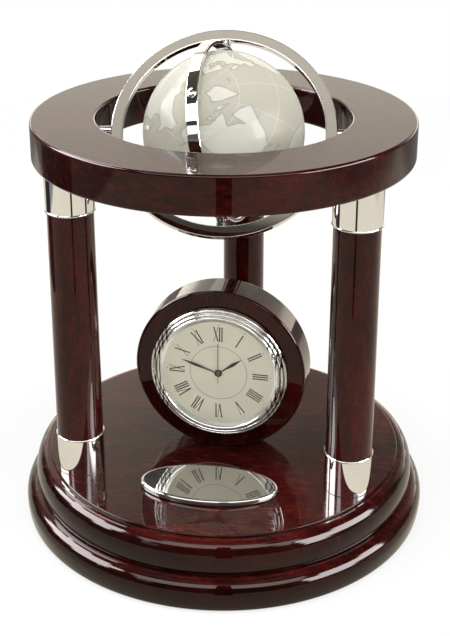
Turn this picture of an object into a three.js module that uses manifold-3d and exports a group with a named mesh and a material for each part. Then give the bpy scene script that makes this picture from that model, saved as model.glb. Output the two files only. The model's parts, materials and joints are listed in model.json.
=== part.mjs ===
// Desk clock: a crystal globe in two gimbal rings, carried by a wooden ring on three columns,
// over a drum-shaped quartz clock on a two-tier round base.
// Millimetres, +Z up, the front faces -Y, the origin is under the middle of the base.
import * as THREE from 'three';
import { mergeVertices } from 'three/addons/utils/BufferGeometryUtils.js';
import Module from 'manifold-3d';

const wasm = await Module();
wasm.setup();

// Clearances
const seat_gap = 0.1;
const running_gap = 0.3;
const pipe_gap = 0.15;
const cut_overrun = 2;

// Globe and gimbal, from the globe out to the pins in the top ring
const globe_radius = 40;
const globe_clearance = 3;
const inner_ring_wall = 2;
const inner_ring_width = 6;
const ring_spacing = 5.3;
const outer_ring_width = 5.7;
const outer_ring_thickness = 4;
const pin_spacing = 7;
const gimbal_edge_ease = 0.4;
const gimbal_turn = 5;
const outer_ring_lean = 41.4;
const inner_ring_turn = -17;
const ring_pin_radius = 2.1;
const ring_pin_depth = 10;
const journal_radius = 1.2;
const journal_depth = 3.4;
const inner_pin_radius = 1.8;
const globe_pin_depth = 5;
const globe_pin_head_radius = 2.3;
const globe_pin_head_height = 1.1;

// Top ring
const ring_width = 32;
const ring_thickness = 19;
const ring_edge_ease = 1.4;

// Columns: turned shaft with a tenon at both ends, a sleeve over each tenon, one long bolt
const column_inset = 15.4;
const left_column_angle = 210;
const right_column_angle = -30;
const rear_column_angle = 90;
const clock_gap = 25.7;
const ferrule_radius = 12;
const ferrule_wall = 1.2;
const ferrule_length = 20.6;
const ferrule_bead = 0.35;
const ferrule_bead_length = 1;
const shaft_top_inset = 0.6;
const shaft_low_inset = 0.2;
const bolt_radius = 2.5;
const bolt_depth_in_ring = 12;
const bolt_end_length = 2;
const nut_across_flats = 8;
const nut_height = 4;
const nut_recess_radius = 7;
const nut_recess_depth = 8;

// Base: widths from the deck's flat top out, heights from the felt up
const deck_margin = 1.6;
const deck_edge_ease = 0.5;
const deck_step_width = 1.2;
const deck_ovolo_width = 6.6;
const deck_under_width = 1.4;
const plinth_shelf_width = 7.3;
const plinth_foot_inset = 1.4;
const felt_inset = 3.5;
const felt_thickness = 1;
const plinth_low_height = 7.3;
const plinth_high_height = 8;
const deck_low_height = 6.8;
const deck_ovolo_height = 10.2;
const deck_step_height = 1.2;

// Wheel train: modules and tooth counts, and the spacing of the levels
const wheel_thickness = 0.6;
const level_gap = 0.5;
const hand_module = 0.42;
const cannon_teeth = 10;
const minute_wheel_teeth = 30;
const minute_pinion_teeth = 8;
const hour_wheel_teeth = 32;
const setting_teeth = 15;
const train_module = 0.25;
const second_module = 0.27;
const second_pinion_teeth = 8;
const second_wheel_teeth = 40;
const third_wheel_teeth = 60;
const third_pinion_teeth = 8;
const centre_wheel_teeth = 64;
const intermediate_wheel_teeth = 48;
const intermediate_pinion_teeth = 8;
const rotor_teeth = 8;
const minute_wheel_direction = 150;
const setting_direction = 120;
const third_direction = 90;
const intermediate_direction = -60;
const rotor_direction = 0;
const tooth_shares = { tip: 0.5, root: 0.8 };
const arbor_radius = 0.45;
const pipe_wall = 0.3;
const rotor_magnet_radius = 2.2;
const rotor_magnet_length = 1.2;
const setting_stem_radius = 0.9;
const setting_knob_radius = 3.6;
const setting_knob_length = 1.8;
const train_plate_thickness = 0.8;

// Circuit: stator, coil, board, quartz crystal
const stator_thickness = 0.6;
const stator_width = 11.4;
const stator_length = 17;
const stator_leg = 1.6;
const stator_arm = 3;
const coil_radius = 2.4;
const coil_clearance = 1.1;
const board_width = 18;
const board_height = 9.5;
const board_thickness = 0.8;
const board_clearance = 1.1;
const board_margin = 1.4;
const crystal_radius = 0.9;
const crystal_length = 6;

// Movement: square case with cut corners, its back cover, the battery and its contacts
const movement_corner = 9;
const movement_wall = 1.2;
const movement_front = 0.9;
const movement_plate = 1.5;
const movement_back_room = 1.6;
const wheel_clearance = 1;
const cover_thickness = 1.3;
const battery_radius = 5.8;
const battery_length = 5.4;
const battery_side_room = 3.5;
const battery_foot_room = 3.8;
const contact_thickness = 0.3;
const contact_width = 4;
const contact_length = 9;

// Clock insert: cup, gasket, dial, reflector ring, lens, bezel
const cup_clearance = 3.75;
const cup_wall = 1.2;
const cup_floor = 1;
const cup_floor_room = 1.1;
const cup_window_room = 1.2;
const cup_flange_width = 1.6;
const cup_flange_thickness = 0.9;
const gasket_wall = 2.3;
const gasket_length = 7;
const gasket_setback = 3;
const dial_height = 1.9;
const dial_thickness = 0.5;
const reflector_width = 1.5;
const reflector_height = 0.9;
const lens_thickness = 0.7;
const lens_rise = 1.8;
const bezel_cover = 3.5;
const bezel_lip_reach = 1.3;
const bezel_lip_thickness = 0.5;
const bezel_edge_width = 1.6;
const bezel_edge_height = 1;
const bezel_ridge_drop = 1.4;
const bezel_groove_depth = 0.7;

// Clock case: a board disc standing on edge
const case_rim = 8.7;
const case_bore_room = 2;
const case_back_thickness = 3.9;
const case_foot_cut = 0.6;
const case_edge_ease = 1.5;
const case_turn = -4.4;
const case_setback = -2;
const case_screw_radius = 2;
const case_screw_depth = 8.5;
const case_screw_head_radius = 4;
const case_screw_head_height = 2.4;

// Hands
const hand_thickness = 0.2;
const hand_gap = 0.25;
const hand_hub_radius = 2;
const hour_hand_length = 15.6;
const minute_hand_length = 20.8;
const second_hand_length = 17.4;
const second_hand_tail = 5.4;
const hour_hand_width = 1.9;
const minute_hand_width = 1.5;
const second_hand_width = 0.35;
const shown_hours = 1;
const shown_minutes = 48;

// Engraving plate on the deck in front of the clock
const plate_half_length = 34.8;
const plate_half_width = 16.9;
const plate_thickness = 2.6;
const plate_rim = 1.5;
const plate_gap = 23.9;
const pad_thickness = 0.6;

// Steps round a full turn, and along an eased edge
const fine_steps = 60;
const turned_steps = 48;
const round_steps = 24;
const small_steps = 12;
const ease_steps = 3;
const corner_steps = 2;
const ball_steps = 16;

const degrees = Math.PI / 180;
const upright_angle = 90;
const opposite_angle = 180;
const quarter_turn = Math.PI / 2;
const full_turn = 2 * Math.PI;
const up = new THREE.Vector3(0, 0, 1);

// Radii that follow, from the globe out to the columns
const inner_ring_inner = globe_radius + globe_clearance;
const inner_ring_radius = inner_ring_inner + inner_ring_wall;
const outer_ring_inner = inner_ring_radius + ring_spacing;
const outer_ring_radius = outer_ring_inner + outer_ring_width;
const ring_hole_radius = outer_ring_radius + pin_spacing;
const ring_radius = ring_hole_radius + ring_width;
const column_circle_radius = ring_radius - column_inset;
const ferrule_inner = ferrule_radius - ferrule_wall;
const tenon_radius = ferrule_inner - seat_gap;
const bolt_bore_radius = bolt_radius + running_gap;
const journal_bore_radius = journal_radius + running_gap;

// Outline of the base: radii from the deck's flat top out, heights from the table up
const deck_flat_radius = column_circle_radius + ferrule_radius + deck_margin;
const deck_ovolo_radius = deck_flat_radius + deck_step_width;
const deck_board_radius = deck_ovolo_radius + deck_ovolo_width;
const tier_joint_radius = deck_board_radius - deck_under_width;
const plinth_radius = tier_joint_radius + plinth_shelf_width;
const plinth_foot_radius = plinth_radius - plinth_foot_inset;
const plinth_wide_height = felt_thickness + plinth_low_height;
const plinth_top_height = plinth_wide_height + plinth_high_height;
const deck_wide_height = plinth_top_height + deck_low_height;
const deck_ovolo_top = deck_wide_height + deck_ovolo_height;
const deck_height = deck_ovolo_top + deck_step_height;
const nut_recess_top = felt_thickness + nut_recess_depth;

// Centre stack: the second hand's arbor, the centre wheel's pipe, the minute pipe, the hour pipe
const centre_pipe_inner = arbor_radius + pipe_gap;
const centre_pipe_outer = centre_pipe_inner + pipe_wall;
const minute_pipe_inner = centre_pipe_outer + pipe_gap;
const minute_pipe_outer = minute_pipe_inner + pipe_wall;
const hour_pipe_inner = minute_pipe_outer + pipe_gap;
const hour_pipe_outer = hour_pipe_inner + pipe_wall;
const centre_hole_radius = hour_pipe_outer + pipe_gap;

// Wheel places, from the tooth counts
function pitchRadius(module, teeth) {
  return (module * teeth) / 2;
}

function tipRadius(module, teeth) {
  return pitchRadius(module, teeth) + module * tooth_shares.tip;
}

function polar(centre, distance, angle) {
  const turn = angle * degrees;
  return new THREE.Vector2(centre.x + distance * Math.cos(turn), centre.y + distance * Math.sin(turn));
}
const centre_place = new THREE.Vector2(0, 0);
const minute_wheel_place = polar(
  centre_place, pitchRadius(hand_module, cannon_teeth + minute_wheel_teeth), minute_wheel_direction);
const setting_place = polar(
  minute_wheel_place, pitchRadius(hand_module, minute_wheel_teeth + setting_teeth), setting_direction);
const third_distance = pitchRadius(second_module, second_pinion_teeth + third_wheel_teeth);
const third_place = polar(centre_place, third_distance, third_direction);
const centre_module = (2 * third_distance) / (third_pinion_teeth + centre_wheel_teeth);
const intermediate_place = polar(
  centre_place, pitchRadius(train_module, intermediate_pinion_teeth + second_wheel_teeth),
  intermediate_direction);
const rotor_place = polar(
  intermediate_place, pitchRadius(train_module, rotor_teeth + intermediate_wheel_teeth), rotor_direction);

// Stator, about the rotor's axis
const rotor_bore_radius = rotor_magnet_radius + running_gap;
const stator_left = -rotor_bore_radius - stator_leg / 2;
const stator_right = stator_left + stator_width;
const coil_x = stator_right - stator_leg / 2;

// The movement's half width inside: room for the coil, the third wheel and the setting gear
const corner_inset = movement_corner - movement_wall / 2;
const coil_side = rotor_place.x + coil_x + coil_radius + coil_clearance;
const third_side = third_place.y + tipRadius(second_module, third_wheel_teeth) + wheel_clearance;
const setting_reach = setting_place.length() + tipRadius(hand_module, setting_teeth) + wheel_clearance;
const setting_side = (setting_reach * Math.SQRT2 + corner_inset) / 2;
const movement_inner_half = Math.max(coil_side, third_side, setting_side);
const movement_half = movement_inner_half + movement_wall;
const movement_reach = Math.hypot(movement_half, movement_half - movement_corner);
const battery_x = battery_radius + battery_side_room - movement_inner_half;
const battery_y = battery_radius + battery_foot_room - movement_inner_half;
const board_x = setting_place.x + setting_stem_radius + board_clearance + board_width / 2;
const board_y = movement_inner_half - board_margin - board_height / 2;

// Levels back from the case's face: the movement's front plate, then the top face of each wheel
const level_step = wheel_thickness + level_gap;
const plate_back = movement_front - movement_plate;
const hour_level = plate_back - level_gap;
const minute_level = hour_level - level_step;
const train_plate_high = minute_level - level_step;
const train_plate_low = train_plate_high - train_plate_thickness;
const centre_level = train_plate_low - level_gap;
const third_level = centre_level - level_step;
const second_level = third_level - level_step;
const rotor_level = second_level - level_step;
const movement_back = rotor_level - wheel_thickness - movement_back_room;
const cover_back = movement_back - cover_thickness;
const cup_back = cover_back - cup_floor_room - cup_floor;

// Levels forward from the case's face: dial, hands, reflector ring, lens, bezel
const dial_low = dial_height - dial_thickness;
const cup_front = dial_low - seat_gap;
const hour_hand_low = dial_height + hand_gap;
const minute_hand_low = hour_hand_low + hand_thickness + hand_gap;
const second_hand_low = minute_hand_low + hand_thickness + hand_gap;
const reflector_low = dial_height + seat_gap;
const lens_low = reflector_low + reflector_height + seat_gap;
const lip_low = lens_low + lens_thickness + seat_gap;
const bezel_height = lip_low + bezel_lip_thickness;

// Radii of the clock insert and its case, from the movement out
const cup_radius = movement_reach + cup_clearance + cup_wall;
const cup_window_radius = setting_place.length() + setting_knob_radius + cup_window_room;
const insert_radius = cup_radius + cup_flange_width;
const case_bore_radius = cup_radius + gasket_wall + 2 * seat_gap;
const bezel_seat_radius = insert_radius + seat_gap;
const bezel_lip_radius = bezel_seat_radius - bezel_lip_reach;
const reflector_inner_radius = bezel_lip_radius - reflector_width;
const bezel_radius = case_bore_radius + bezel_cover;
const bezel_ridge_radius = bezel_radius - bezel_edge_width;
const case_radius = bezel_radius + case_rim;
const case_bore_depth = case_bore_room - cup_back;
const case_depth = case_bore_depth + case_back_thickness;
const case_centre_height = deck_height + seat_gap + case_radius - case_foot_cut;

// Heights above the clock: the gimbal clears it in every pose
const gimbal_height = case_centre_height + case_radius + clock_gap + outer_ring_radius;
const ring_bottom = gimbal_height - ring_thickness / 2;
const ring_top = ring_bottom + ring_thickness;
const column_length = ring_bottom - deck_height;
const bolt_top = ring_bottom + bolt_depth_in_ring;

// The plate lies in front of the case
const plate_distance = case_depth / 2 - case_setback + plate_gap + plate_half_width;

// Finishes
function finish(color, roughness, metalness) {
  return new THREE.MeshStandardMaterial({ color, roughness, metalness });
}
const rosewood = finish(0x4a1a18, 0.12, 0);
const chrome = finish(0xd9d9d6, 0.08, 1);
const steel = finish(0x9a9a98, 0.35, 1);
const brass = finish(0xb59a55, 0.3, 1);
const crystal = finish(0xdfe3d4, 0.15, 0);
const glass = finish(0xeef2f2, 0.02, 0);
const dial_face = finish(0xe3dcc6, 0.6, 0);
const black_plastic = finish(0x1b1b1c, 0.5, 0);
const white_plastic = finish(0xe9e8e2, 0.5, 0);
const rubber = finish(0x17171a, 0.9, 0);
const felt = finish(0x1d3a26, 1, 0);
const green_board = finish(0x1f5a35, 0.6, 0);
const copper = finish(0xa8623a, 0.35, 1);
const hand_black = finish(0x2b2522, 0.3, 0.4);
const silver_hand = finish(0xb9b6aa, 0.3, 0.8);

// Turns a closed three.js geometry into a solid for cutting and joining
function solid(geometry) {
  const bare = geometry.index ? geometry.clone() : mergeVertices(geometry.clone());
  bare.deleteAttribute('normal');
  bare.deleteAttribute('uv');
  const merged = mergeVertices(bare);
  const mesh = new wasm.Mesh({
    numProp: 3,
    vertProperties: new Float32Array(merged.attributes.position.array),
    triVerts: new Uint32Array(merged.index.array),
  });
  return new wasm.Manifold(mesh);
}

function geometryOf(body) {
  const mesh = body.getMesh();
  const geometry = new THREE.BufferGeometry();
  geometry.setAttribute('position', new THREE.BufferAttribute(new Float32Array(mesh.vertProperties), 3));
  geometry.setIndex(new THREE.BufferAttribute(new Uint32Array(mesh.triVerts), 1));
  geometry.computeVertexNormals();
  return geometry;
}

function join(first, ...others) {
  return geometryOf(others.reduce((body, other) => body.add(solid(other)), solid(first)));
}

function cut(first, ...others) {
  return geometryOf(others.reduce((body, other) => body.subtract(solid(other)), solid(first)));
}

function piece(parent, name, geometry, material) {
  const mesh = new THREE.Mesh(geometry, material);
  mesh.name = name;
  parent.add(mesh);
  return mesh;
}

// Revolves an outline of [radius, height] points about Z; the outline closes on itself or on the axis
function revolve(outline, steps) {
  const onAxis = outline[0][0] === 0;
  const closed = onAxis ? outline : [...outline, outline[0]];
  let area = 0;
  outline.forEach(([r, z], i) => {
    const [nextR, nextZ] = outline[(i + 1) % outline.length];
    area += r * nextZ - nextR * z;
  });
  const ordered = area > 0 ? closed : [...closed].reverse();
  const points = ordered.map(([r, z]) => new THREE.Vector2(r, z));
  return new THREE.LatheGeometry(points, steps).rotateX(quarter_turn);
}

function rod(radius, low, high, steps = small_steps) {
  return new THREE.CylinderGeometry(radius, radius, high - low, steps)
    .rotateX(quarter_turn)
    .translate(0, 0, (low + high) / 2);
}

function tube(inner, outer, low, high, steps = small_steps) {
  return revolve([[inner, low], [outer, low], [outer, high], [inner, high]], steps);
}

function box(width, depth, height) {
  return new THREE.BoxGeometry(width, depth, height);
}

// Points of a quarter ellipse between two outline points, bulging away from its own centre
function quarter(centre_r, centre_z, radius_r, radius_z, from, to, steps = ease_steps) {
  const points = [];
  for (let i = 0; i <= steps; i += 1) {
    const angle = (from + ((to - from) * i) / steps) * degrees;
    points.push([centre_r + radius_r * Math.cos(angle), centre_z + radius_z * Math.sin(angle)]);
  }
  return points;
}

// A plate of any outline, extruded from low to high
function slab(shape, low, high) {
  return new THREE.ExtrudeGeometry(shape, { depth: high - low, bevelEnabled: false }).translate(0, 0, low);
}

function shapeOf(points) {
  return new THREE.Shape(points.map(([x, y]) => new THREE.Vector2(x, y)));
}

function along(geometry, direction) {
  const turn = new THREE.Quaternion().setFromUnitVectors(up, direction);
  return geometry.applyQuaternion(turn);
}

// Base
function columnPlace(angle) {
  const turn = angle * degrees;
  return new THREE.Vector3(column_circle_radius * Math.cos(turn), column_circle_radius * Math.sin(turn), 0);
}
const column_angles = { left: left_column_angle, right: right_column_angle, rear: rear_column_angle };
const column_places = Object.values(column_angles).map(columnPlace);

function boltBores(radius, low, high) {
  return column_places.map((place) => rod(radius, low, high).translate(place.x, place.y, 0));
}

function caseScrewBore(radius, low, high) {
  return rod(radius, low, high).translate(0, case_setback, 0);
}

function baseFelt() {
  return rod(plinth_foot_radius - felt_inset, 0, felt_thickness, fine_steps);
}

function basePlinth() {
  const low_bulge = quarter(
    plinth_foot_radius, plinth_wide_height,
    plinth_foot_inset, plinth_low_height, -90, 0);
  const high_bulge = quarter(
    tier_joint_radius, plinth_wide_height,
    plinth_shelf_width, plinth_high_height, 0, 90);
  const outline = [[0, felt_thickness], ...low_bulge, ...high_bulge.slice(1), [0, plinth_top_height]];
  return cut(
    revolve(outline, fine_steps),
    ...boltBores(bolt_bore_radius, 0, plinth_top_height + cut_overrun),
    ...boltBores(nut_recess_radius, 0, nut_recess_top),
    caseScrewBore(case_screw_radius + running_gap, 0, plinth_top_height + cut_overrun),
    caseScrewBore(case_screw_head_radius + running_gap, 0, nut_recess_top));
}

function baseDeck() {
  const low_bulge = quarter(
    tier_joint_radius, deck_wide_height,
    deck_under_width, deck_low_height, -90, 0);
  const ovolo = quarter(
    deck_ovolo_radius, deck_wide_height,
    deck_ovolo_width, deck_ovolo_height, 0, 90, ease_steps + 1);
  const outline = [
    [0, plinth_top_height], ...low_bulge, ...ovolo.slice(1),
    [deck_flat_radius, deck_ovolo_top],
    [deck_flat_radius, deck_height - deck_edge_ease],
    [deck_flat_radius - deck_edge_ease, deck_height],
    [0, deck_height],
  ];
  return cut(
    revolve(outline, fine_steps),
    ...boltBores(bolt_bore_radius, 0, deck_height + cut_overrun),
    caseScrewBore(case_screw_radius + running_gap, 0, deck_height + cut_overrun));
}

// Columns
function columnShaft() {
  const shoulder = ferrule_length + seat_gap;
  return revolve([
    [bolt_bore_radius, 0],
    [tenon_radius, 0],
    [tenon_radius, shoulder],
    [ferrule_radius - shaft_low_inset, shoulder],
    [ferrule_radius - shaft_top_inset, column_length - shoulder],
    [tenon_radius, column_length - shoulder],
    [tenon_radius, column_length],
    [bolt_bore_radius, column_length],
  ], round_steps);
}

// A sleeve whose beaded rim is at its far end, away from the board that it meets
function ferrule(foot, rim) {
  const way = Math.sign(rim - foot);
  const bead_start = rim - way * ferrule_bead_length;
  return revolve([
    [ferrule_inner, foot],
    [ferrule_radius, foot],
    [ferrule_radius, bead_start],
    [ferrule_radius + ferrule_bead, rim - way * ferrule_bead],
    [ferrule_radius + ferrule_bead, rim],
    [ferrule_inner, rim],
  ], round_steps);
}

function rodNut() {
  const corner_radius = nut_across_flats / Math.sqrt(3);
  const high = nut_recess_top - seat_gap;
  const hexagon = new THREE.CylinderGeometry(corner_radius, corner_radius, nut_height, 6)
    .rotateX(quarter_turn)
    .translate(0, 0, high - nut_height / 2);
  return cut(hexagon, rod(bolt_radius + seat_gap, 0, high + cut_overrun));
}

function addColumns(parent) {
  for (const [side, angle] of Object.entries(column_angles)) {
    const column = new THREE.Group();
    column.position.copy(columnPlace(angle));
    const standing = new THREE.Group();
    standing.position.z = deck_height;
    piece(standing, `column_shaft_${side}`, columnShaft(), rosewood);
    piece(standing, `lower_ferrule_${side}`, ferrule(0, ferrule_length), chrome);
    piece(standing, `upper_ferrule_${side}`, ferrule(column_length, column_length - ferrule_length), chrome);
    column.add(standing);
    const bolt_low = nut_recess_top - nut_height - bolt_end_length;
    const bolt = rod(bolt_radius, bolt_low, bolt_top);
    piece(column, `column_bolt_${side}`, bolt, steel);
    piece(column, `bolt_nut_${side}`, rodNut(), steel);
    parent.add(column);
  }
}

// Top ring, with blind holes for the column bolts and the two gimbal pins
const pin_direction = new THREE.Vector3(Math.cos(gimbal_turn * degrees), Math.sin(gimbal_turn * degrees), 0);

function topRing() {
  const ease = ring_edge_ease;
  const outline = [
    ...quarter(ring_radius - ease, ring_bottom + ease, ease, ease, -90, 0, corner_steps),
    ...quarter(ring_radius - ease, ring_top - ease, ease, ease, 0, 90, corner_steps),
    ...quarter(ring_hole_radius + ease, ring_top - ease, ease, ease, 90, 180, corner_steps),
    ...quarter(ring_hole_radius + ease, ring_bottom + ease, ease, ease, 180, 270, corner_steps),
  ];
  const depth = ring_hole_radius + ring_pin_depth + running_gap;
  const pin_bores = [1, -1].map((side) => {
    const bore = rod(ring_pin_radius + seat_gap, ring_hole_radius - cut_overrun, depth);
    return along(bore, pin_direction.clone().multiplyScalar(side)).translate(0, 0, gimbal_height);
  });
  return cut(
    revolve(outline, fine_steps),
    ...boltBores(bolt_radius + seat_gap, ring_bottom - cut_overrun, bolt_top + running_gap),
    ...pin_bores);
}

// Gimbal: each ring lies in its own group's XY plane
function bandRing(radius, wall, width) {
  const ease = gimbal_edge_ease;
  const inner = radius - wall;
  const half = width / 2;
  return revolve([
    [inner + ease, -half],
    [radius - ease, -half],
    [radius, -half + ease],
    [radius, half - ease],
    [radius - ease, half],
    [inner + ease, half],
    [inner, half - ease],
    [inner, -half + ease],
  ], turned_steps);
}

function bothWays(make, direction) {
  return [1, -1].map((side) => along(make(), direction.clone().multiplyScalar(side)));
}

const axis_x = new THREE.Vector3(1, 0, 0);
const axis_y = new THREE.Vector3(0, 1, 0);

// A stepped pin along Z: a body with a thinner end
function steppedPin(journal_from, shoulder, body_radius, body_to) {
  return revolve([
    [0, journal_from],
    [journal_radius, journal_from],
    [journal_radius, shoulder],
    [body_radius, shoulder],
    [body_radius, body_to],
    [0, body_to],
  ], small_steps);
}

function outerGimbalRing() {
  const journal_from = outer_ring_radius - journal_depth - running_gap;
  const journal_bore = () => rod(journal_bore_radius, journal_from, outer_ring_radius + cut_overrun);
  const inner_pin_seat = () => rod(
    journal_radius + seat_gap, outer_ring_inner - cut_overrun, outer_ring_inner + journal_depth + seat_gap);
  return cut(
    bandRing(outer_ring_radius, outer_ring_width, outer_ring_thickness),
    ...bothWays(journal_bore, axis_x),
    ...bothWays(inner_pin_seat, axis_y));
}

// The pins between the two rings: fixed in the outer ring, and the inner ring turns on their ends
function innerRingPin() {
  return revolve([
    [0, inner_ring_inner + running_gap],
    [journal_radius, inner_ring_inner + running_gap],
    [journal_radius, inner_ring_radius + running_gap],
    [inner_pin_radius, inner_ring_radius + running_gap],
    [inner_pin_radius, outer_ring_inner - running_gap],
    [journal_radius, outer_ring_inner - running_gap],
    [journal_radius, outer_ring_inner + journal_depth],
    [0, outer_ring_inner + journal_depth],
  ], small_steps);
}

function innerGimbalRing() {
  const through = (radius) => () => rod(
    radius, inner_ring_inner - cut_overrun, inner_ring_radius + cut_overrun);
  return cut(
    bandRing(inner_ring_radius, inner_ring_wall, inner_ring_width),
    ...bothWays(through(journal_bore_radius), axis_y),
    ...bothWays(through(journal_radius + seat_gap), axis_x));
}

function globePin() {
  const head_foot = inner_ring_radius + seat_gap;
  const head_top = head_foot + globe_pin_head_height;
  const dome = quarter(0, head_foot, globe_pin_head_radius, head_top - head_foot, 0, 90);
  return revolve([
    [0, globe_radius - globe_pin_depth],
    [journal_radius, globe_radius - globe_pin_depth],
    [journal_radius, head_foot],
    ...dome.slice(0, ease_steps),
    [0, head_top],
  ], small_steps);
}

function globeBall() {
  const ball = new THREE.SphereGeometry(globe_radius, 2 * ball_steps, ball_steps);
  const bore_from = globe_radius - globe_pin_depth - running_gap;
  const bore = () => rod(journal_bore_radius, bore_from, globe_radius + cut_overrun);
  return cut(ball, ...bothWays(bore, axis_x));
}

function addGimbal(parent) {
  const carrier = new THREE.Group();
  carrier.position.z = gimbal_height;
  carrier.rotation.z = gimbal_turn * degrees;
  const pin = () => steppedPin(
    outer_ring_radius - journal_depth, outer_ring_radius + running_gap,
    ring_pin_radius, ring_hole_radius + ring_pin_depth);
  const [right_pin, left_pin] = bothWays(pin, axis_x);
  piece(carrier, 'ring_pin_right', right_pin, chrome);
  piece(carrier, 'ring_pin_left', left_pin, chrome);

  // Upright the ring's own Y axis points up; the lean tips its top away from the front
  const outer = new THREE.Group();
  outer.rotation.x = (upright_angle - outer_ring_lean) * degrees;
  piece(outer, 'outer_gimbal_ring', outerGimbalRing(), chrome);
  const [upper_pin, lower_pin] = bothWays(innerRingPin, axis_y);
  piece(outer, 'inner_ring_pin_upper', upper_pin, chrome);
  piece(outer, 'inner_ring_pin_lower', lower_pin, chrome);

  // The inner ring's own X axis is the globe's axis; with no turn it points to the front
  const inner = new THREE.Group();
  inner.rotation.y = (inner_ring_turn - upright_angle) * degrees;
  piece(inner, 'inner_gimbal_ring', innerGimbalRing(), chrome);
  const [front_pin, rear_pin] = bothWays(globePin, axis_x);
  piece(inner, 'globe_pin_front', front_pin, chrome);
  piece(inner, 'globe_pin_rear', rear_pin, chrome);
  piece(inner, 'globe', globeBall(), crystal);
  outer.add(inner);
  carrier.add(outer);
  parent.add(carrier);
}

// Clock: in its own group x is right, y is up, z comes forward from the case's face
function clockCase() {
  const ease = case_edge_ease;
  const back = -case_depth;
  const outline = [
    [0, back],
    ...quarter(case_radius - ease, back + ease, ease, ease, -90, 0, corner_steps),
    ...quarter(case_radius - ease, -ease, ease, ease, 0, 90, corner_steps),
    [case_bore_radius, 0],
    [case_bore_radius, -case_bore_depth],
    [0, -case_bore_depth],
  ];
  const foot_height = case_foot_cut + cut_overrun;
  const foot = box(case_radius, foot_height, case_depth + cut_overrun)
    .translate(0, -case_radius + case_foot_cut - foot_height / 2, -case_depth / 2);
  const pilot_low = -case_radius - cut_overrun;
  const pilot_high = case_foot_cut - case_radius + case_screw_depth + running_gap;
  const pilot = rod(case_screw_radius + seat_gap, pilot_low, pilot_high)
    .rotateX(-quarter_turn)
    .translate(0, 0, -case_depth / 2);
  return cut(revolve(outline, turned_steps), foot, pilot);
}

function caseScrew() {
  const head_top = nut_recess_top - seat_gap;
  return revolve([
    [0, head_top - case_screw_head_height],
    [case_screw_head_radius, head_top - case_screw_head_height],
    [case_screw_head_radius, head_top],
    [case_screw_radius, head_top],
    [case_screw_radius, deck_height + case_screw_depth],
    [0, deck_height + case_screw_depth],
  ], small_steps).translate(0, case_setback, 0);
}

// Two polished ridges with a groove between them, the lip over the lens, and a thin edge
function bezel() {
  const ridge_height = bezel_height - bezel_ridge_drop;
  const outer_ridge = quarter(
    bezel_ridge_radius, bezel_edge_height, bezel_edge_width, ridge_height - bezel_edge_height, 0, 90);
  const crest_radius = (bezel_lip_radius + bezel_ridge_radius) / 2;
  const crest_wide = (bezel_ridge_radius - bezel_lip_radius) / 2 - bezel_groove_depth / 2;
  const groove_height = ridge_height - bezel_groove_depth;
  const inner_ridge = quarter(
    crest_radius, groove_height, crest_wide, bezel_height - groove_height, 0, 90);
  return revolve([
    [bezel_seat_radius, seat_gap],
    [bezel_radius - bezel_groove_depth, seat_gap],
    [bezel_radius, seat_gap + bezel_groove_depth / 2],
    ...outer_ridge,
    [bezel_ridge_radius - bezel_groove_depth / 2, groove_height],
    ...inner_ridge,
    [bezel_lip_radius + bezel_groove_depth, bezel_height],
    [bezel_lip_radius, bezel_height - bezel_lip_thickness / 2],
    [bezel_lip_radius, lip_low],
    [bezel_seat_radius, lip_low],
  ], turned_steps);
}

// A shallow dome with a flat rim under the lip
function lens() {
  const rim_inner = bezel_lip_radius - running_gap;
  const outer = [];
  const inner = [];
  for (let i = 0; i <= ease_steps; i += 1) {
    const share = i / ease_steps;
    const rise = lens_rise * (1 - share * share);
    outer.push([rim_inner * share, lens_low + lens_thickness + rise]);
    inner.push([rim_inner * share, lens_low + rise]);
  }
  return revolve([
    ...inner, [insert_radius, lens_low], [insert_radius, lens_low + lens_thickness],
    ...outer.reverse(),
  ], round_steps);
}

function reflectorRing() {
  return revolve([
    [reflector_inner_radius, reflector_low],
    [insert_radius, reflector_low],
    [insert_radius, reflector_low + reflector_height],
    [bezel_lip_radius + running_gap, reflector_low + reflector_height],
  ], round_steps);
}

function dial() {
  return tube(centre_hole_radius, insert_radius, dial_low, dial_height, round_steps);
}

function movementCup() {
  const flange_low = cup_front - cup_flange_thickness;
  const inner = cup_radius - cup_wall;
  return revolve([
    [cup_window_radius, cup_back],
    [cup_radius, cup_back],
    [cup_radius, flange_low],
    [insert_radius, flange_low],
    [insert_radius, cup_front],
    [inner, cup_front],
    [inner, cup_back + cup_floor],
    [cup_window_radius, cup_back + cup_floor],
  ], round_steps);
}

function gasket() {
  const high = -gasket_setback;
  return tube(cup_radius + seat_gap, case_bore_radius - seat_gap, high - gasket_length, high, round_steps);
}

// Movement case and cover
function cutCornerSquare(half, corner) {
  const edge = half - corner;
  return shapeOf([
    [edge, -half], [half, -edge], [half, edge], [edge, half],
    [-edge, half], [-half, edge], [-half, -edge], [-edge, -half],
  ]);
}

function movementCase() {
  const outer = slab(cutCornerSquare(movement_half, movement_corner), movement_back, movement_front);
  const inner = slab(
    cutCornerSquare(movement_inner_half, corner_inset), movement_back - cut_overrun, plate_back);
  const centre_hole = rod(centre_hole_radius, plate_back - cut_overrun, movement_front + cut_overrun);
  return cut(outer, inner, centre_hole);
}

function at(geometry, place) {
  return geometry.translate(place.x, place.y, 0);
}

// The tooth phase that makes a wheel mesh with a neighbour of known phase
function meshPhase(phase, teeth, next_teeth, direction) {
  const line = direction * degrees;
  return line + Math.PI - ((phase - line) * teeth + Math.PI) / next_teeth;
}

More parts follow.
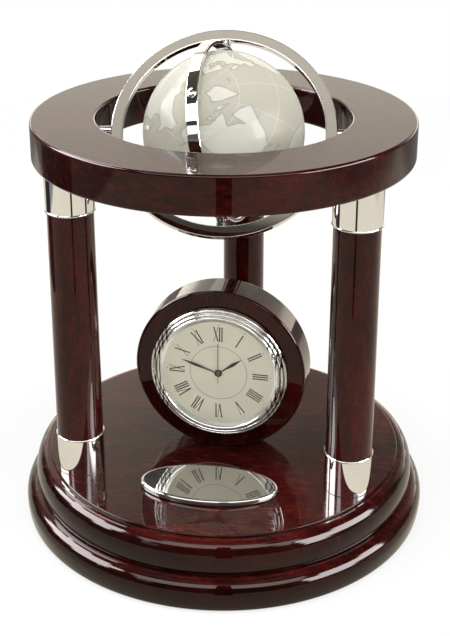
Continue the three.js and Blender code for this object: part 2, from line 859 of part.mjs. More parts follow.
function toothedWheel(teeth, module, phase, high) {
  const tip = tipRadius(module, teeth);
  const root = pitchRadius(module, teeth) - module * tooth_shares.root;
  const pitch = full_turn / teeth;
  const points = [];
  for (let i = 0; i < teeth; i += 1) {
    const middle = phase + i * pitch;
    const valley = middle + pitch / 2;
    points.push([tip * Math.cos(middle), tip * Math.sin(middle)]);
    points.push([root * Math.cos(valley), root * Math.sin(valley)]);
  }
  return slab(shapeOf(points), high - wheel_thickness, high);
}

const cannon_phase = 0;
const minute_wheel_phase = meshPhase(cannon_phase, cannon_teeth, minute_wheel_teeth, minute_wheel_direction);
const setting_phase = meshPhase(minute_wheel_phase, minute_wheel_teeth, setting_teeth, setting_direction);
const minute_pinion_phase = 0;
const hour_phase = meshPhase(
  minute_pinion_phase, minute_pinion_teeth, hour_wheel_teeth, minute_wheel_direction + opposite_angle);
const second_phase = 0;
const third_phase = meshPhase(second_phase, second_pinion_teeth, third_wheel_teeth, third_direction);
const third_pinion_phase = 0;
const centre_phase = meshPhase(
  third_pinion_phase, third_pinion_teeth, centre_wheel_teeth, third_direction + opposite_angle);
const intermediate_pinion_phase = meshPhase(
  second_phase, second_wheel_teeth, intermediate_pinion_teeth, intermediate_direction);
const intermediate_phase = 0;
const rotor_phase = meshPhase(intermediate_phase, intermediate_wheel_teeth, rotor_teeth, rotor_direction);

function hourWheel() {
  const wheel = toothedWheel(hour_wheel_teeth, hand_module, hour_phase, hour_level);
  const low = hour_level - wheel_thickness;
  const pipe = rod(hour_pipe_outer, low, hour_hand_low - seat_gap);
  const bore = rod(hour_pipe_inner, low - cut_overrun, hour_hand_low + cut_overrun);
  return geometryOf(solid(wheel).add(solid(pipe)).subtract(solid(bore)));
}

function minutePinion() {
  const pinion = toothedWheel(cannon_teeth, hand_module, cannon_phase, minute_level);
  const low = minute_level - wheel_thickness;
  const pipe = rod(minute_pipe_outer, low, minute_hand_low - seat_gap);
  const bore = rod(minute_pipe_inner, low - cut_overrun, minute_hand_low + cut_overrun);
  return geometryOf(solid(pinion).add(solid(pipe)).subtract(solid(bore)));
}

function minuteWheel() {
  const pinion = toothedWheel(minute_pinion_teeth, hand_module, minute_pinion_phase, hour_level);
  const wheel = toothedWheel(minute_wheel_teeth, hand_module, minute_wheel_phase, minute_level);
  const arbor = rod(arbor_radius, minute_level - level_step + running_gap, plate_back - running_gap);
  return at(join(wheel, pinion, arbor), minute_wheel_place);
}

function settingKnob() {
  const gear = toothedWheel(setting_teeth, hand_module, setting_phase, minute_level);
  const knob_high = cover_back - running_gap;
  const stem = rod(setting_stem_radius, knob_high - running_gap, minute_level + running_gap);
  const knob = rod(setting_knob_radius, knob_high - setting_knob_length, knob_high);
  return at(join(gear, stem, knob), setting_place);
}

function centreWheel() {
  const wheel = toothedWheel(centre_wheel_teeth, centre_module, centre_phase, centre_level);
  const low = centre_level - wheel_thickness;
  const pipe_top = minute_hand_low - hand_gap;
  const pipe = rod(centre_pipe_outer, low, pipe_top);
  const bore = rod(centre_pipe_inner, low - cut_overrun, pipe_top + cut_overrun);
  return geometryOf(solid(wheel).add(solid(pipe)).subtract(solid(bore)));
}

function thirdWheel() {
  const pinion = toothedWheel(third_pinion_teeth, centre_module, third_pinion_phase, centre_level);
  const wheel = toothedWheel(third_wheel_teeth, second_module, third_phase, third_level);
  const arbor = rod(
    arbor_radius, third_level - wheel_thickness - running_gap, train_plate_low - running_gap);
  return at(join(wheel, pinion, arbor), third_place);
}

function secondWheel() {
  const pinion = toothedWheel(second_pinion_teeth, second_module, second_phase, third_level);
  const wheel = toothedWheel(second_wheel_teeth, train_module, second_phase, second_level);
  const arbor = rod(arbor_radius, second_level - wheel_thickness, second_hand_low - seat_gap);
  return join(wheel, pinion, arbor);
}

function intermediateWheel() {
  const pinion = toothedWheel(
    intermediate_pinion_teeth, train_module, intermediate_pinion_phase, second_level);
  const wheel = toothedWheel(intermediate_wheel_teeth, train_module, intermediate_phase, rotor_level);
  const arbor = rod(
    arbor_radius, movement_back + running_gap, third_level - wheel_thickness - running_gap);
  return at(join(wheel, pinion, arbor), intermediate_place);
}

function rotor() {
  const pinion = toothedWheel(rotor_teeth, train_module, rotor_phase, rotor_level);
  const magnet_low = rotor_level + level_gap;
  const magnet_high = magnet_low + rotor_magnet_length;
  const magnet = rod(rotor_magnet_radius, magnet_low, magnet_high);
  const arbor = rod(arbor_radius, movement_back + running_gap, magnet_high + running_gap);
  return at(join(pinion, magnet, arbor), rotor_place);
}

// A plate across the case that splits the hand work from the wheel train
function trainPlate() {
  const plate = slab(
    cutCornerSquare(movement_inner_half - seat_gap, corner_inset), train_plate_low, train_plate_high);
  const through = (radius) => rod(radius, train_plate_low - cut_overrun, train_plate_high + cut_overrun);
  return cut(
    plate,
    through(centre_pipe_outer + running_gap),
    at(through(setting_stem_radius + running_gap), setting_place));
}

function movementCover() {
  const plate = slab(
    cutCornerSquare(movement_half, movement_corner), cover_back, movement_back - seat_gap);
  const through = (radius) => rod(radius, cover_back - cut_overrun, movement_back + cut_overrun);
  const battery_place = new THREE.Vector2(battery_x, battery_y);
  return cut(
    plate,
    at(through(battery_radius + running_gap), battery_place),
    at(through(setting_stem_radius + running_gap), setting_place));
}

// Battery and its two contacts
const battery_high = cover_back + battery_length;

function battery() {
  return rod(battery_radius, cover_back, battery_high, round_steps).translate(battery_x, battery_y, 0);
}

function topContact() {
  return box(contact_width, contact_length, contact_thickness)
    .translate(battery_x, battery_y, battery_high + seat_gap + contact_thickness / 2);
}

function sideContact() {
  const low = movement_back + running_gap;
  const height = battery_high - low;
  return box(contact_thickness, contact_width, height)
    .translate(battery_x - battery_radius - seat_gap - contact_thickness / 2, battery_y, low + height / 2);
}

// Stator: a flat frame whose outer leg carries the coil and whose inner side holds the rotor
const stator_high = rotor_level + level_gap + (rotor_magnet_length + stator_thickness) / 2;
const stator_low = stator_high - stator_thickness;

function stator() {
  const half = stator_length / 2;
  const outline = shapeOf([
    [stator_left, -half], [stator_right, -half], [stator_right, half], [stator_left, half],
  ]);
  const window_left = rotor_bore_radius + stator_leg;
  const window_right = stator_right - stator_leg;
  const window_half = half - stator_arm;
  const opening = shapeOf([
    [window_left, -window_half], [window_right, -window_half],
    [window_right, window_half], [window_left, window_half],
  ]);
  const frame = cut(
    slab(outline, stator_low, stator_high),
    slab(opening, stator_low - cut_overrun, stator_high + cut_overrun),
    rod(rotor_bore_radius, stator_low - cut_overrun, stator_high + cut_overrun));
  return at(frame, rotor_place);
}

function coil() {
  const length = stator_length - 2 * stator_arm - 2 * running_gap;
  const middle = (stator_low + stator_high) / 2;
  const winding = rod(coil_radius, -length / 2, length / 2).rotateX(quarter_turn);
  const leg = box(stator_leg + 2 * seat_gap, length + cut_overrun, stator_thickness + 2 * seat_gap);
  return at(cut(winding, leg).translate(coil_x, 0, middle), rotor_place);
}

const board_low = movement_back + running_gap;

function circuitBoard() {
  return box(board_width, board_height, board_thickness)
    .translate(board_x, board_y, board_low + board_thickness / 2);
}

function quartzCrystal() {
  const high = board_low + board_thickness + seat_gap + crystal_radius;
  return rod(crystal_radius, -crystal_length / 2, crystal_length / 2)
    .rotateY(quarter_turn)
    .translate(board_x, board_y, high);
}

// Hands: outlines point along +y and are turned to the shown time
function lanceShape(length, width) {
  const lance_shares = { neck: 0.3, belly: 0.62 };
  const half = width / 2;
  return shapeOf([
    [-half * lance_shares.neck, 0],
    [half * lance_shares.neck, 0],
    [half, length * lance_shares.belly],
    [0, length],
    [-half, length * lance_shares.belly],
  ]);
}

function lanceHand(length, width, low, bore_radius, turn) {
  const blade = slab(lanceShape(length, width), low, low + hand_thickness);
  const hub = rod(hand_hub_radius, low, low + hand_thickness);
  const bore = rod(bore_radius, low - cut_overrun, low + cut_overrun);
  return geometryOf(solid(blade).add(solid(hub)).subtract(solid(bore))).rotateZ(-turn);
}

const minute_turn = (shown_minutes / 60) * full_turn;
const hour_turn = ((shown_hours + shown_minutes / 60) / 12) * full_turn;

function hourHand() {
  return lanceHand(
    hour_hand_length, hour_hand_width, hour_hand_low, minute_pipe_outer + seat_gap, hour_turn);
}

function minuteHand() {
  return lanceHand(
    minute_hand_length, minute_hand_width, minute_hand_low, centre_pipe_outer + seat_gap, minute_turn);
}

function secondHand() {
  const half = second_hand_width / 2;
  const needle = shapeOf([
    [-half, -second_hand_tail], [half, -second_hand_tail],
    [half, second_hand_length], [-half, second_hand_length],
  ]);
  const low = second_hand_low;
  return join(slab(needle, low, low + hand_thickness), rod(2 * arbor_radius, low, low + hand_thickness));
}

function addClock(parent) {
  const standing = new THREE.Group();
  standing.position.set(0, case_setback, case_centre_height);
  standing.rotation.z = case_turn * degrees;
  const clock = new THREE.Group();
  clock.rotation.x = quarter_turn;
  clock.position.y = -case_depth / 2;
  standing.add(clock);
  piece(clock, 'clock_case', clockCase(), rosewood);
  piece(clock, 'bezel', bezel(), chrome);
  piece(clock, 'lens', lens(), glass);
  piece(clock, 'reflector_ring', reflectorRing(), chrome);
  piece(clock, 'dial', dial(), dial_face);
  piece(clock, 'movement_cup', movementCup(), black_plastic);
  piece(clock, 'gasket', gasket(), rubber);
  piece(clock, 'movement_case', movementCase(), black_plastic);
  piece(clock, 'train_plate', trainPlate(), white_plastic);
  piece(clock, 'movement_cover', movementCover(), black_plastic);
  piece(clock, 'hour_wheel', hourWheel(), white_plastic);
  piece(clock, 'minute_pinion', minutePinion(), brass);
  piece(clock, 'minute_wheel', minuteWheel(), white_plastic);
  piece(clock, 'setting_knob', settingKnob(), white_plastic);
  piece(clock, 'centre_wheel', centreWheel(), white_plastic);
  piece(clock, 'third_wheel', thirdWheel(), white_plastic);
  piece(clock, 'second_wheel', secondWheel(), white_plastic);
  piece(clock, 'intermediate_wheel', intermediateWheel(), white_plastic);
  piece(clock, 'rotor', rotor(), steel);
  piece(clock, 'stator', stator(), steel);
  piece(clock, 'coil', coil(), copper);
  piece(clock, 'circuit_board', circuitBoard(), green_board);
  piece(clock, 'quartz_crystal', quartzCrystal(), steel);
  piece(clock, 'battery', battery(), steel);
  piece(clock, 'battery_top_contact', topContact(), brass);
  piece(clock, 'battery_side_contact', sideContact(), brass);
  piece(clock, 'hour_hand', hourHand(), hand_black);
  piece(clock, 'minute_hand', minuteHand(), hand_black);
  piece(clock, 'second_hand', secondHand(), silver_hand);
  parent.add(standing);
}

// Engraving plate: an oval with a rounded rim on a thin adhesive pad
function ovalShape(inset) {
  const oval = new THREE.Shape();
  oval.absellipse(0, 0, plate_half_length - inset, plate_half_width - inset, 0, full_turn, false);
  return oval;
}

function engravingPlate() {
  return new THREE.ExtrudeGeometry(ovalShape(plate_rim), {
    depth: plate_thickness - plate_rim,
    bevelEnabled: true,
    bevelThickness: plate_rim,
    bevelSize: plate_rim,
    bevelSegments: ease_steps,
    curveSegments: small_steps,
  });
}

function addPlate(parent) {
  const plate = new THREE.Group();
  plate.position.set(0, -plate_distance, deck_height);
  const pad = new THREE.ExtrudeGeometry(ovalShape(plate_rim), {
    depth: pad_thickness, bevelEnabled: false, curveSegments: small_steps,
  });
  piece(plate, 'plate_pad', pad, rubber);
  const flat_bottom = box(2 * plate_half_length + cut_overrun, 2 * plate_half_width + cut_overrun, plate_rim)
    .translate(0, 0, -plate_rim / 2);
  const metal = cut(engravingPlate(), flat_bottom).translate(0, 0, pad_thickness);
  piece(plate, 'engraving_plate', metal, chrome);
  parent.add(plate);
}

const group = new THREE.Group();
piece(group, 'base_felt', baseFelt(), felt);
piece(group, 'base_plinth', basePlinth(), rosewood);
piece(group, 'base_deck', baseDeck(), rosewood);
piece(group, 'case_screw', caseScrew(), steel);
addColumns(group);
piece(group, 'top_ring', topRing(), rosewood);
addGimbal(group);
addClock(group);
addPlate(group);

export default group;
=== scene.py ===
"""The looks of a desk clock: a crystal globe in two gimbal rings, in a wooden ring on three
columns, over a drum-shaped quartz clock on a round base. Metres, +Z up, the front faces -Y."""
import json
import math

import bmesh
import bpy
import numpy as np
from mathutils import Matrix, Vector


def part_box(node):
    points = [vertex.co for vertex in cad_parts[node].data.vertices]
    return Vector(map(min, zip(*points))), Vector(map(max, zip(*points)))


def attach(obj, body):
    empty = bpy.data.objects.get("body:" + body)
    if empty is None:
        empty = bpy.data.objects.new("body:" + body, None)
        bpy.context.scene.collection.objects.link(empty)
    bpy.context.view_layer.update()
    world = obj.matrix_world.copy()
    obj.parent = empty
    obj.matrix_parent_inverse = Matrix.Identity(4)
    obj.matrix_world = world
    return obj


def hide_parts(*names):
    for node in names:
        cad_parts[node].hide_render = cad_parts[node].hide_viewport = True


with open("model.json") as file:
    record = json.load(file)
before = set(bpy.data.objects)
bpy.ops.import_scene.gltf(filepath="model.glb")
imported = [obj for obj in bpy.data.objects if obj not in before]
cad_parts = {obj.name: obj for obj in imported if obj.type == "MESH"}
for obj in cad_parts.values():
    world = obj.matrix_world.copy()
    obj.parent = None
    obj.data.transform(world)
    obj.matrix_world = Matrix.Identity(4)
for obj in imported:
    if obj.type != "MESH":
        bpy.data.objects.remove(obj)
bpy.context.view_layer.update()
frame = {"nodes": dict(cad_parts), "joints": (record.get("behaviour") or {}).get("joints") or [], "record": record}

MM = 0.001
FULL_TURN = 2 * math.pi
UP = Vector((0, 0, 1))
IDENTITY = Matrix.Identity(4)

# Steps of the fine meshes, round whole turns and along arcs
TURN_STEPS = 192
SMALL_STEPS = 64
PIN_STEPS = 32
DOT_STEPS = 16
LONG_ARC_STEPS = 16
ARC_STEPS = 8
EASE_STEPS = 4
# Outline edges longer than LONG_EDGE get a point at SUPPORT from each end
SUPPORT = 0.05 * MM
LONG_EDGE = 0.5 * MM
SHARP_ANGLE = math.radians(38)

# Base, columns and top ring
PLINTH_FOOT_INSET = 1.4 * MM
PLINTH_LOW_HEIGHT = 7.3 * MM
PLINTH_SHELF_WIDTH = 7.3 * MM
DECK_UNDER_WIDTH = 1.4 * MM
DECK_LOW_HEIGHT = 6.8 * MM
DECK_OVOLO_WIDTH = 6.6 * MM
DECK_OVOLO_HEIGHT = 10.2 * MM
DECK_STEP_WIDTH = 1.2 * MM
DECK_EASE = 0.5 * MM
FERRULE_WALL = 1.2 * MM
FERRULE_BEAD = 0.35 * MM
FERRULE_BEAD_LENGTH = 1 * MM
FERRULE_FOOT_EASE = 0.25 * MM
SHAFT_TOP_INSET = 0.6 * MM
SHAFT_LOW_INSET = 0.2 * MM
SEAT_GAP = 0.1 * MM
RING_EASE = 1.4 * MM
RING_HOLE_GAP = 7 * MM

# Gimbal
GLOBE_RADIUS = 40 * MM
INNER_RING_INNER = 43 * MM
INNER_RING_RADIUS = 45 * MM
INNER_RING_WIDTH = 6 * MM
OUTER_RING_INNER = 50.3 * MM
OUTER_RING_RADIUS = 56 * MM
OUTER_RING_THICKNESS = 4 * MM
RING_HOLE_RADIUS = OUTER_RING_RADIUS + RING_HOLE_GAP
GIMBAL_EASE = 0.4 * MM
RUNNING_GAP = 0.3 * MM
RING_PIN_RADIUS = 2.1 * MM
RING_PIN_DEPTH = 10 * MM
JOURNAL_RADIUS = 1.2 * MM
JOURNAL_DEPTH = 3.4 * MM
INNER_PIN_RADIUS = 1.8 * MM
GLOBE_PIN_DEPTH = 5 * MM
GLOBE_PIN_HEAD_RADIUS = 2.3 * MM
GLOBE_PIN_HEAD_HEIGHT = 1.1 * MM

# Clock, with depths counted from the case's front face
CASE_EASE = 1.5 * MM
CASE_FOOT_CUT = 0.6 * MM
CASE_BORE_RADIUS = 33.004 * MM
CASE_BORE_DEPTH = 15.5 * MM
BEZEL_RADIUS = 36.504 * MM
BEZEL_SEAT_RADIUS = 32.204 * MM
BEZEL_LIP_RADIUS = 30.904 * MM
BEZEL_HEIGHT = 4.3 * MM
BEZEL_LIP_THICKNESS = 0.5 * MM
BEZEL_FOOT_EASE = 0.35 * MM
# Inner radius, height and inner groove's height of each bead, from the outside
BEZEL_BEADS = [
    (34.6 * MM, 2.7 * MM, 1.3 * MM),
    (32.9 * MM, 3.7 * MM, 2.3 * MM),
    (BEZEL_LIP_RADIUS, BEZEL_HEIGHT, 3.6 * MM),
]
LENS_LOW = 3.0 * MM
LENS_THICKNESS = 0.7 * MM
LENS_RISE = 1.8 * MM
INSERT_RADIUS = 32.104 * MM
REFLECTOR_LOW = 2.0 * MM
REFLECTOR_HEIGHT = 0.9 * MM
REFLECTOR_INNER = 29.404 * MM
DIAL_TOP = 1.9 * MM
DIAL_THICKNESS = 0.5 * MM
DIAL_HOLE = 1.95 * MM
PRINT_HEIGHT = 0.03 * MM
NUMERAL_INNER = 18.2 * MM
NUMERAL_OUTER = 26.2 * MM
DOT_CIRCLE = 27.5 * MM
DOT_RADIUS = 0.24 * MM
THIN_CIRCLE = 15.1 * MM
THIN_CIRCLE_WIDTH = 0.16 * MM
HAND_THICKNESS = 0.2 * MM
HAND_HUB_RADIUS = 2 * MM
SECOND_HAND_LENGTH = 17.4 * MM
SECOND_HAND_TAIL = 5.4 * MM
SECOND_HAND_WIDTH = 0.35 * MM
SECOND_HAND_LOW = 3.05 * MM
SECOND_HUB_RADIUS = 0.9 * MM
# Length, width, height of the underside and bore of each lance-shaped hand
LANCES = {
    "hour": (15.6 * MM, 1.9 * MM, 2.15 * MM, 1.45 * MM),
    "minute": (20.8 * MM, 1.5 * MM, 2.6 * MM, 1 * MM),
}
SHOWN_HOURS = 1
SHOWN_MINUTES = 48

# Engraving plate
PLATE_RIM = 1.5 * MM

# Places and directions from the frame
joints = {joint["name"]: joint for joint in frame["joints"]}


def axis_of(name):
    return Vector(joints[name]["axis"]).normalized()


def place_of(name):
    return Vector(joints[name]["pos_m"])


def axes_matrix(origin, x, y):
    """The matrix whose X and Y axes are these; Z follows by the right-hand rule."""
    z = x.cross(y).normalized()
    matrix = Matrix((x, z.cross(x), z)).transposed().to_4x4()
    matrix.translation = origin
    return matrix


gimbal_place = place_of("outer_ring_spin")
outer_matrix = axes_matrix(gimbal_place, axis_of("outer_ring_spin"), axis_of("inner_ring_spin"))
inner_matrix = axes_matrix(gimbal_place, axis_of("globe_spin"), axis_of("inner_ring_spin"))
clock_forward = -axis_of("minute_spin")
clock_matrix = axes_matrix(place_of("minute_spin"), UP.cross(clock_forward), UP)


def centred_on(name, z):
    """The place at this height on the vertical line through a node's middle."""
    low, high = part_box(name)
    centre = (low + high) / 2
    return Matrix.Translation((centre.x, centre.y, z))


def half_width(name):
    low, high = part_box(name)
    return (high.x - low.x) / 2


def heights(name):
    low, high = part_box(name)
    return low.z, high.z


# Meshes
def rectangle(left, right, low, high):
    return [(left, low), (right, low), (right, high), (left, high)]


def arc(centre_r, centre_z, radius_r, radius_z, start, end, steps=ARC_STEPS):
    """Points of an elliptical arc in an outline, angles in degrees."""
    points = []
    for i in range(steps + 1):
        angle = math.radians(start + (end - start) * i / steps)
        points.append((centre_r + radius_r * math.cos(angle), centre_z + radius_z * math.sin(angle)))
    return points


def ring_section(inner, outer, low, high, ease, steps=ARC_STEPS):
    """The outline of a ring of rectangular section with eased edges."""
    return [
        *arc(outer - ease, low + ease, ease, ease, -90, 0, steps),
        *arc(outer - ease, high - ease, ease, ease, 0, 90, steps),
        *arc(inner + ease, high - ease, ease, ease, 90, 180, steps),
        *arc(inner + ease, low + ease, ease, ease, 180, 270, steps),
    ]


def with_supports(outline, closed):
    """Adds a point near each end of the long straight edges, so that shading stays flat on them."""
    ends = [*outline[1:], outline[0] if closed else outline[-1]]
    points = []
    for (r, z), (next_r, next_z) in zip(outline, ends):
        points.append((r, z))
        length = math.hypot(next_r - r, next_z - z)
        if length > LONG_EDGE:
            share = SUPPORT / length
            for s in (share, 1 - share):
                points.append((r + (next_r - r) * s, z + (next_z - z) * s))
    return points


def vertex_loop(body, radius_x, radius_y, z, steps=TURN_STEPS):
    """New vertices on a level ellipse about Z."""
    turns = (FULL_TURN * i / steps for i in range(steps))
    return [body.verts.new((radius_x * math.cos(turn), radius_y * math.sin(turn), z)) for turn in turns]


def lathe(outline, steps=TURN_STEPS):
    """A closed body of revolution about Z from (radius, height) points."""
    closed = outline[0][0] > 0
    outline = with_supports(outline, closed)
    body = bmesh.new()
    rings = [vertex_loop(body, r, r, z, steps if r > 0 else 1) for r, z in outline]
    for low, high in zip(rings, rings[1:] + (rings[:1] if closed else [])):
        for i in range(steps):
            j = (i + 1) % steps
            corners = (low[i % len(low)], low[j % len(low)], high[j % len(high)], high[i % len(high)])
            unique = list(dict.fromkeys(corners))
            if len(unique) > 2:
                body.faces.new(unique)
    bmesh.ops.recalc_face_normals(body, faces=body.faces)
    return body


def bridge(body, near, far):
    """The faces between two closed loops of as many points."""
    near_pairs = zip(near, near[1:] + near[:1])
    far_pairs = zip(far, far[1:] + far[:1])
    return [body.faces.new((a, b, d, c)) for (a, b), (c, d) in zip(near_pairs, far_pairs)]


def prism(points, low, high, body):
    """Adds a plate with this outline in XY between two heights."""
    bottom = [body.verts.new((x, y, low)) for x, y in points]
    top = [body.verts.new((x, y, high)) for x, y in points]
    faces = [body.faces.new(bottom), body.faces.new(top), *bridge(body, bottom, top)]
    bmesh.ops.recalc_face_normals(body, faces=faces)


def new_object(name, data):
    obj = bpy.data.objects.new(name, data)
    bpy.context.scene.collection.objects.link(obj)
    return obj


def new_mesh(name, body, material):
    mesh = bpy.data.meshes.new(name)
    body.to_mesh(mesh)
    body.free()
    mesh.materials.append(material)
    return mesh


def piece(name, body, rides_on, stands_for, matrix, material, slot, smooth=True):
    """Makes the object, places it, ties it to its CAD body and hides the CAD nodes it stands for; slot is not
    used.
    """
    body.transform(matrix)
    mesh = new_mesh(name, body, material)
    if smooth:
        mesh.shade_smooth()
        mesh.set_sharp_from_angle(angle=SHARP_ANGLE)
    obj = new_object(name, mesh)
    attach(obj, rides_on)
    if stands_for:
        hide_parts(*stands_for)
    return obj


# Shader nodes
def feed(tree, source, target):
    """Links another socket to this one, or sets it to a number or a colour."""
    if isinstance(source, bpy.types.NodeSocket):
        tree.links.new(source, target)
    elif isinstance(source, tuple):
        target.default_value = (*source, 1)
    else:
        target.default_value = source


def set_inputs(tree, shader, **values):
    """Feeds a node's inputs, named with _ for a space."""
    for name, value in values.items():
        feed(tree, value, shader.inputs[name.replace("_", " ")])


def node(tree, kind, **values):
    """A shader node; values name its properties, or its inputs if it has no such property."""
    made = tree.nodes.new(kind)
    for name, value in values.items():
        if hasattr(made, name):
            setattr(made, name, value)
        else:
            set_inputs(tree, made, **{name: value})
    return made


def new_material(name):
    material = bpy.data.materials.new(name)
    material.use_nodes = True
    tree = material.node_tree
    return material, tree, tree.nodes["Principled BSDF"]


def bare_material(name):
    """A material without nodes."""
    material, tree, _ = new_material(name)
    tree.nodes.clear()
    return material, tree


def finish_surface(tree, shader, output="ShaderNodeOutputMaterial"):
    tree.links.new(shader, node(tree, output).inputs["Surface"])


def object_place(tree):
    return node(tree, "ShaderNodeTexCoord").outputs["Object"]


def geometry(tree, name):
    return node(tree, "ShaderNodeNewGeometry").outputs[name]


def attribute(tree, name):
    return node(tree, "ShaderNodeAttribute", attribute_name=name).outputs["Fac"]


def parts_of(tree, vector):
    return node(tree, "ShaderNodeSeparateXYZ", Vector=vector).outputs


def length_of(tree, vector):
    return node(tree, "ShaderNodeVectorMath", operation="LENGTH", Vector=vector).outputs["Value"]


def noise(tree, vector, scale, detail=4.0, roughness=0.5, distortion=0.0):
    return node(tree, "ShaderNodeTexNoise", Vector=vector, Scale=scale, Detail=detail,
                Roughness=roughness, Distortion=distortion).outputs["Fac"]


def ramp(tree, value, stops):
    """A colour ramp through (place, colour) stops."""
    made = node(tree, "ShaderNodeValToRGB", Fac=value)
    elements = made.color_ramp.elements
    while len(elements) < len(stops):
        elements.new(0.5)
    for element, (place, colour) in zip(elements, stops):
        element.position = place
        element.color = (*colour, 1)
    return made.outputs["Color"]


def mix_colours(tree, factor, first, second, blend="MIX"):
    made = node(tree, "ShaderNodeMix", data_type="RGBA", blend_type=blend, Factor=factor)
    targets = [socket for socket in made.inputs if socket.type == "RGBA"]
    for source, target in zip((first, second), targets):
        feed(tree, source, target)
    return next(socket for socket in made.outputs if socket.type == "RGBA")


def mix_shaders(tree, factor, first, second):
    made = node(tree, "ShaderNodeMixShader")
    for source, target in zip((factor, first, second), made.inputs):
        feed(tree, source, target)
    return made.outputs[0]


def math_node(tree, operation, *values):
    """A math node, whose values are numbers or sockets."""
    made = node(tree, "ShaderNodeMath", operation=operation)
    for value, target in zip(values, made.inputs):
        feed(tree, value, target)
    return made.outputs[0]


def between(tree, value, low, high, to_low=0.0, to_high=1.0, interpolation="LINEAR"):
    """Maps low..high to to_low..to_high and stays inside them."""
    return node(tree, "ShaderNodeMapRange", interpolation_type=interpolation, Value=value,
                From_Min=low, From_Max=high, To_Min=to_low, To_Max=to_high).outputs["Result"]


def either_ray(tree, path, first, second):
    return math_node(tree, "MAXIMUM", path.outputs[first], path.outputs[second])


def emission(tree, colour, strength=1.0):
    return node(tree, "ShaderNodeEmission", Color=colour, Strength=strength).outputs[0]


# The range that most values of a noise texture lie in
NOISE_SPAN = (0.3, 0.7)


def mottled(tree, texture, colour, tone, span=NOISE_SPAN):
    """A colour that falls to a share of itself where the texture is low."""
    return ramp(tree, texture, [(span[0], tuple(part * tone for part in colour)), (span[1], colour)])


# Rosewood
WOOD_DARK = (0.007, 0.0014, 0.0013)
WOOD_MID = (0.021, 0.0024, 0.002)
WOOD_RED = (0.062, 0.0055, 0.0042)
WOOD_GLEAM = (1.0, 0.16, 0.13)
WOOD_SPECULAR = 0.05
WOOD_ROUGHNESS = (0.16, 0.32)
# Share of a texture's length that remains along the grain
GRAIN_STRETCH = 0.3
# Scale of each texture, and its ramp as (place, colour)
FIGURE_SCALE = 30
FIGURE_STOPS = [(0.36, WOOD_DARK), (0.52, WOOD_MID), (0.68, WOOD_RED)]
STREAK_SCALE = 260
STREAK_STOPS = [(0.36, WOOD_DARK), (0.5, WOOD_MID), (0.66, WOOD_RED)]
PORE_SCALE = 1500
PORE_STOPS = [(0.36, (0.45, 0.4, 0.4)), (0.48, (1, 1, 1))]
PORE_DEPTH = 0.8
# Painted shade on turned rims and painted light on the flat top, as shares of the colour, and the normal's heights
# between which it changes
PAINTED_RIM_SHADE = 0.38
PAINTED_TOP_LIGHT = 1.5
PAINTED_LIGHT_TURN = (0.6, 0.97)
COAT_IOR = 1.34
COAT_ROUGHNESS = 0.015


def rosewood(name, along, painted_rim_shade=1.0):
    """Dark red wood with its grain along one axis, under clear gloss; it can have painted shade on its turned rims
    and painted light on its flat top.
    """
    material, tree, shader = new_material(name)
    mapping = node(tree, "ShaderNodeMapping", Vector=object_place(tree))
    mapping.inputs["Scale"].default_value["XYZ".index(along)] = GRAIN_STRETCH
    vector = mapping.outputs["Vector"]
    figure = noise(tree, vector, FIGURE_SCALE, distortion=1.2)
    streaks = noise(tree, vector, STREAK_SCALE, detail=6.0, roughness=0.7)
    pores = noise(tree, vector, PORE_SCALE, detail=2.0)
    colour = mix_colours(tree, 0.5, ramp(tree, figure, FIGURE_STOPS), ramp(tree, streaks, STREAK_STOPS))
    colour = mix_colours(tree, PORE_DEPTH, colour, ramp(tree, pores, PORE_STOPS), "MULTIPLY")
    # Painted light and shade: faces that turn away from up are darker and the flat top brighter, as if lit from
    # above
    if painted_rim_shade < 1:
        facing_up = parts_of(tree, geometry(tree, "Normal"))["Z"]
        painted_light_share = between(tree, facing_up, *PAINTED_LIGHT_TURN, painted_rim_shade, PAINTED_TOP_LIGHT)
        colour = mix_colours(tree, 1.0, colour, painted_light_share, "MULTIPLY")
    set_inputs(tree, shader, Base_Color=colour,
               Roughness=between(tree, streaks, *NOISE_SPAN, *WOOD_ROUGHNESS),
               Specular_IOR_Level=WOOD_SPECULAR, Specular_Tint=WOOD_GLEAM,
               Coat_Weight=1, Coat_IOR=COAT_IOR, Coat_Roughness=COAT_ROUGHNESS)
    return material


# Metals, with the width and colour of the painted shade lines between the bezel's beads
WORN_TONE = 0.94
WORN_SPAN = (0.3, 0.6)
GROOVE_SHADE_WIDTH = 0.34 * MM
GROOVE_SHADE_COLOUR = (0.012, 0.012, 0.014)


def polished(name, colour, smooth, rough, grain=60, metallic=1.0, lines=()):
    """A metal whose polish varies a little, between two values of roughness."""
    material, tree, shader = new_material(name)
    wear = noise(tree, object_place(tree), grain, detail=5.0)
    tint = mottled(tree, wear, colour, WORN_TONE, WORN_SPAN)
    # lines are the radii of painted shade lines, dark rings in the metal's colour
    set_inputs(tree, shader, Base_Color=painted_groove_shade(tree, tint, lines), Metallic=metallic,
               Roughness=between(tree, wear, *NOISE_SPAN, smooth, rough))
    return material


def painted_groove_shade(tree, colour, radii):
    """Painted shade: dark lines round the piece's own axis, at the given radii."""
    if not radii:
        return colour
    flat = node(tree, "ShaderNodeVectorMath", operation="MULTIPLY", Vector=object_place(tree))
    flat.inputs[1].default_value = (1, 1, 0)
    radius = length_of(tree, flat.outputs[0])
    # Painted shade: the colour turns dark near each radius
    for line in radii:
        off = math_node(tree, "ABSOLUTE", math_node(tree, "SUBTRACT", radius, line))
        colour = mix_colours(tree, between(tree, off, GROOVE_SHADE_WIDTH / 2, GROOVE_SHADE_WIDTH), GROOVE_SHADE_COLOUR, colour)
    return colour


# Plastic, paper, rubber and paint
PATCH_TONE = 0.93
PATCH_SHARE = 30
TOOTH_HEIGHT = 0.05 * MM


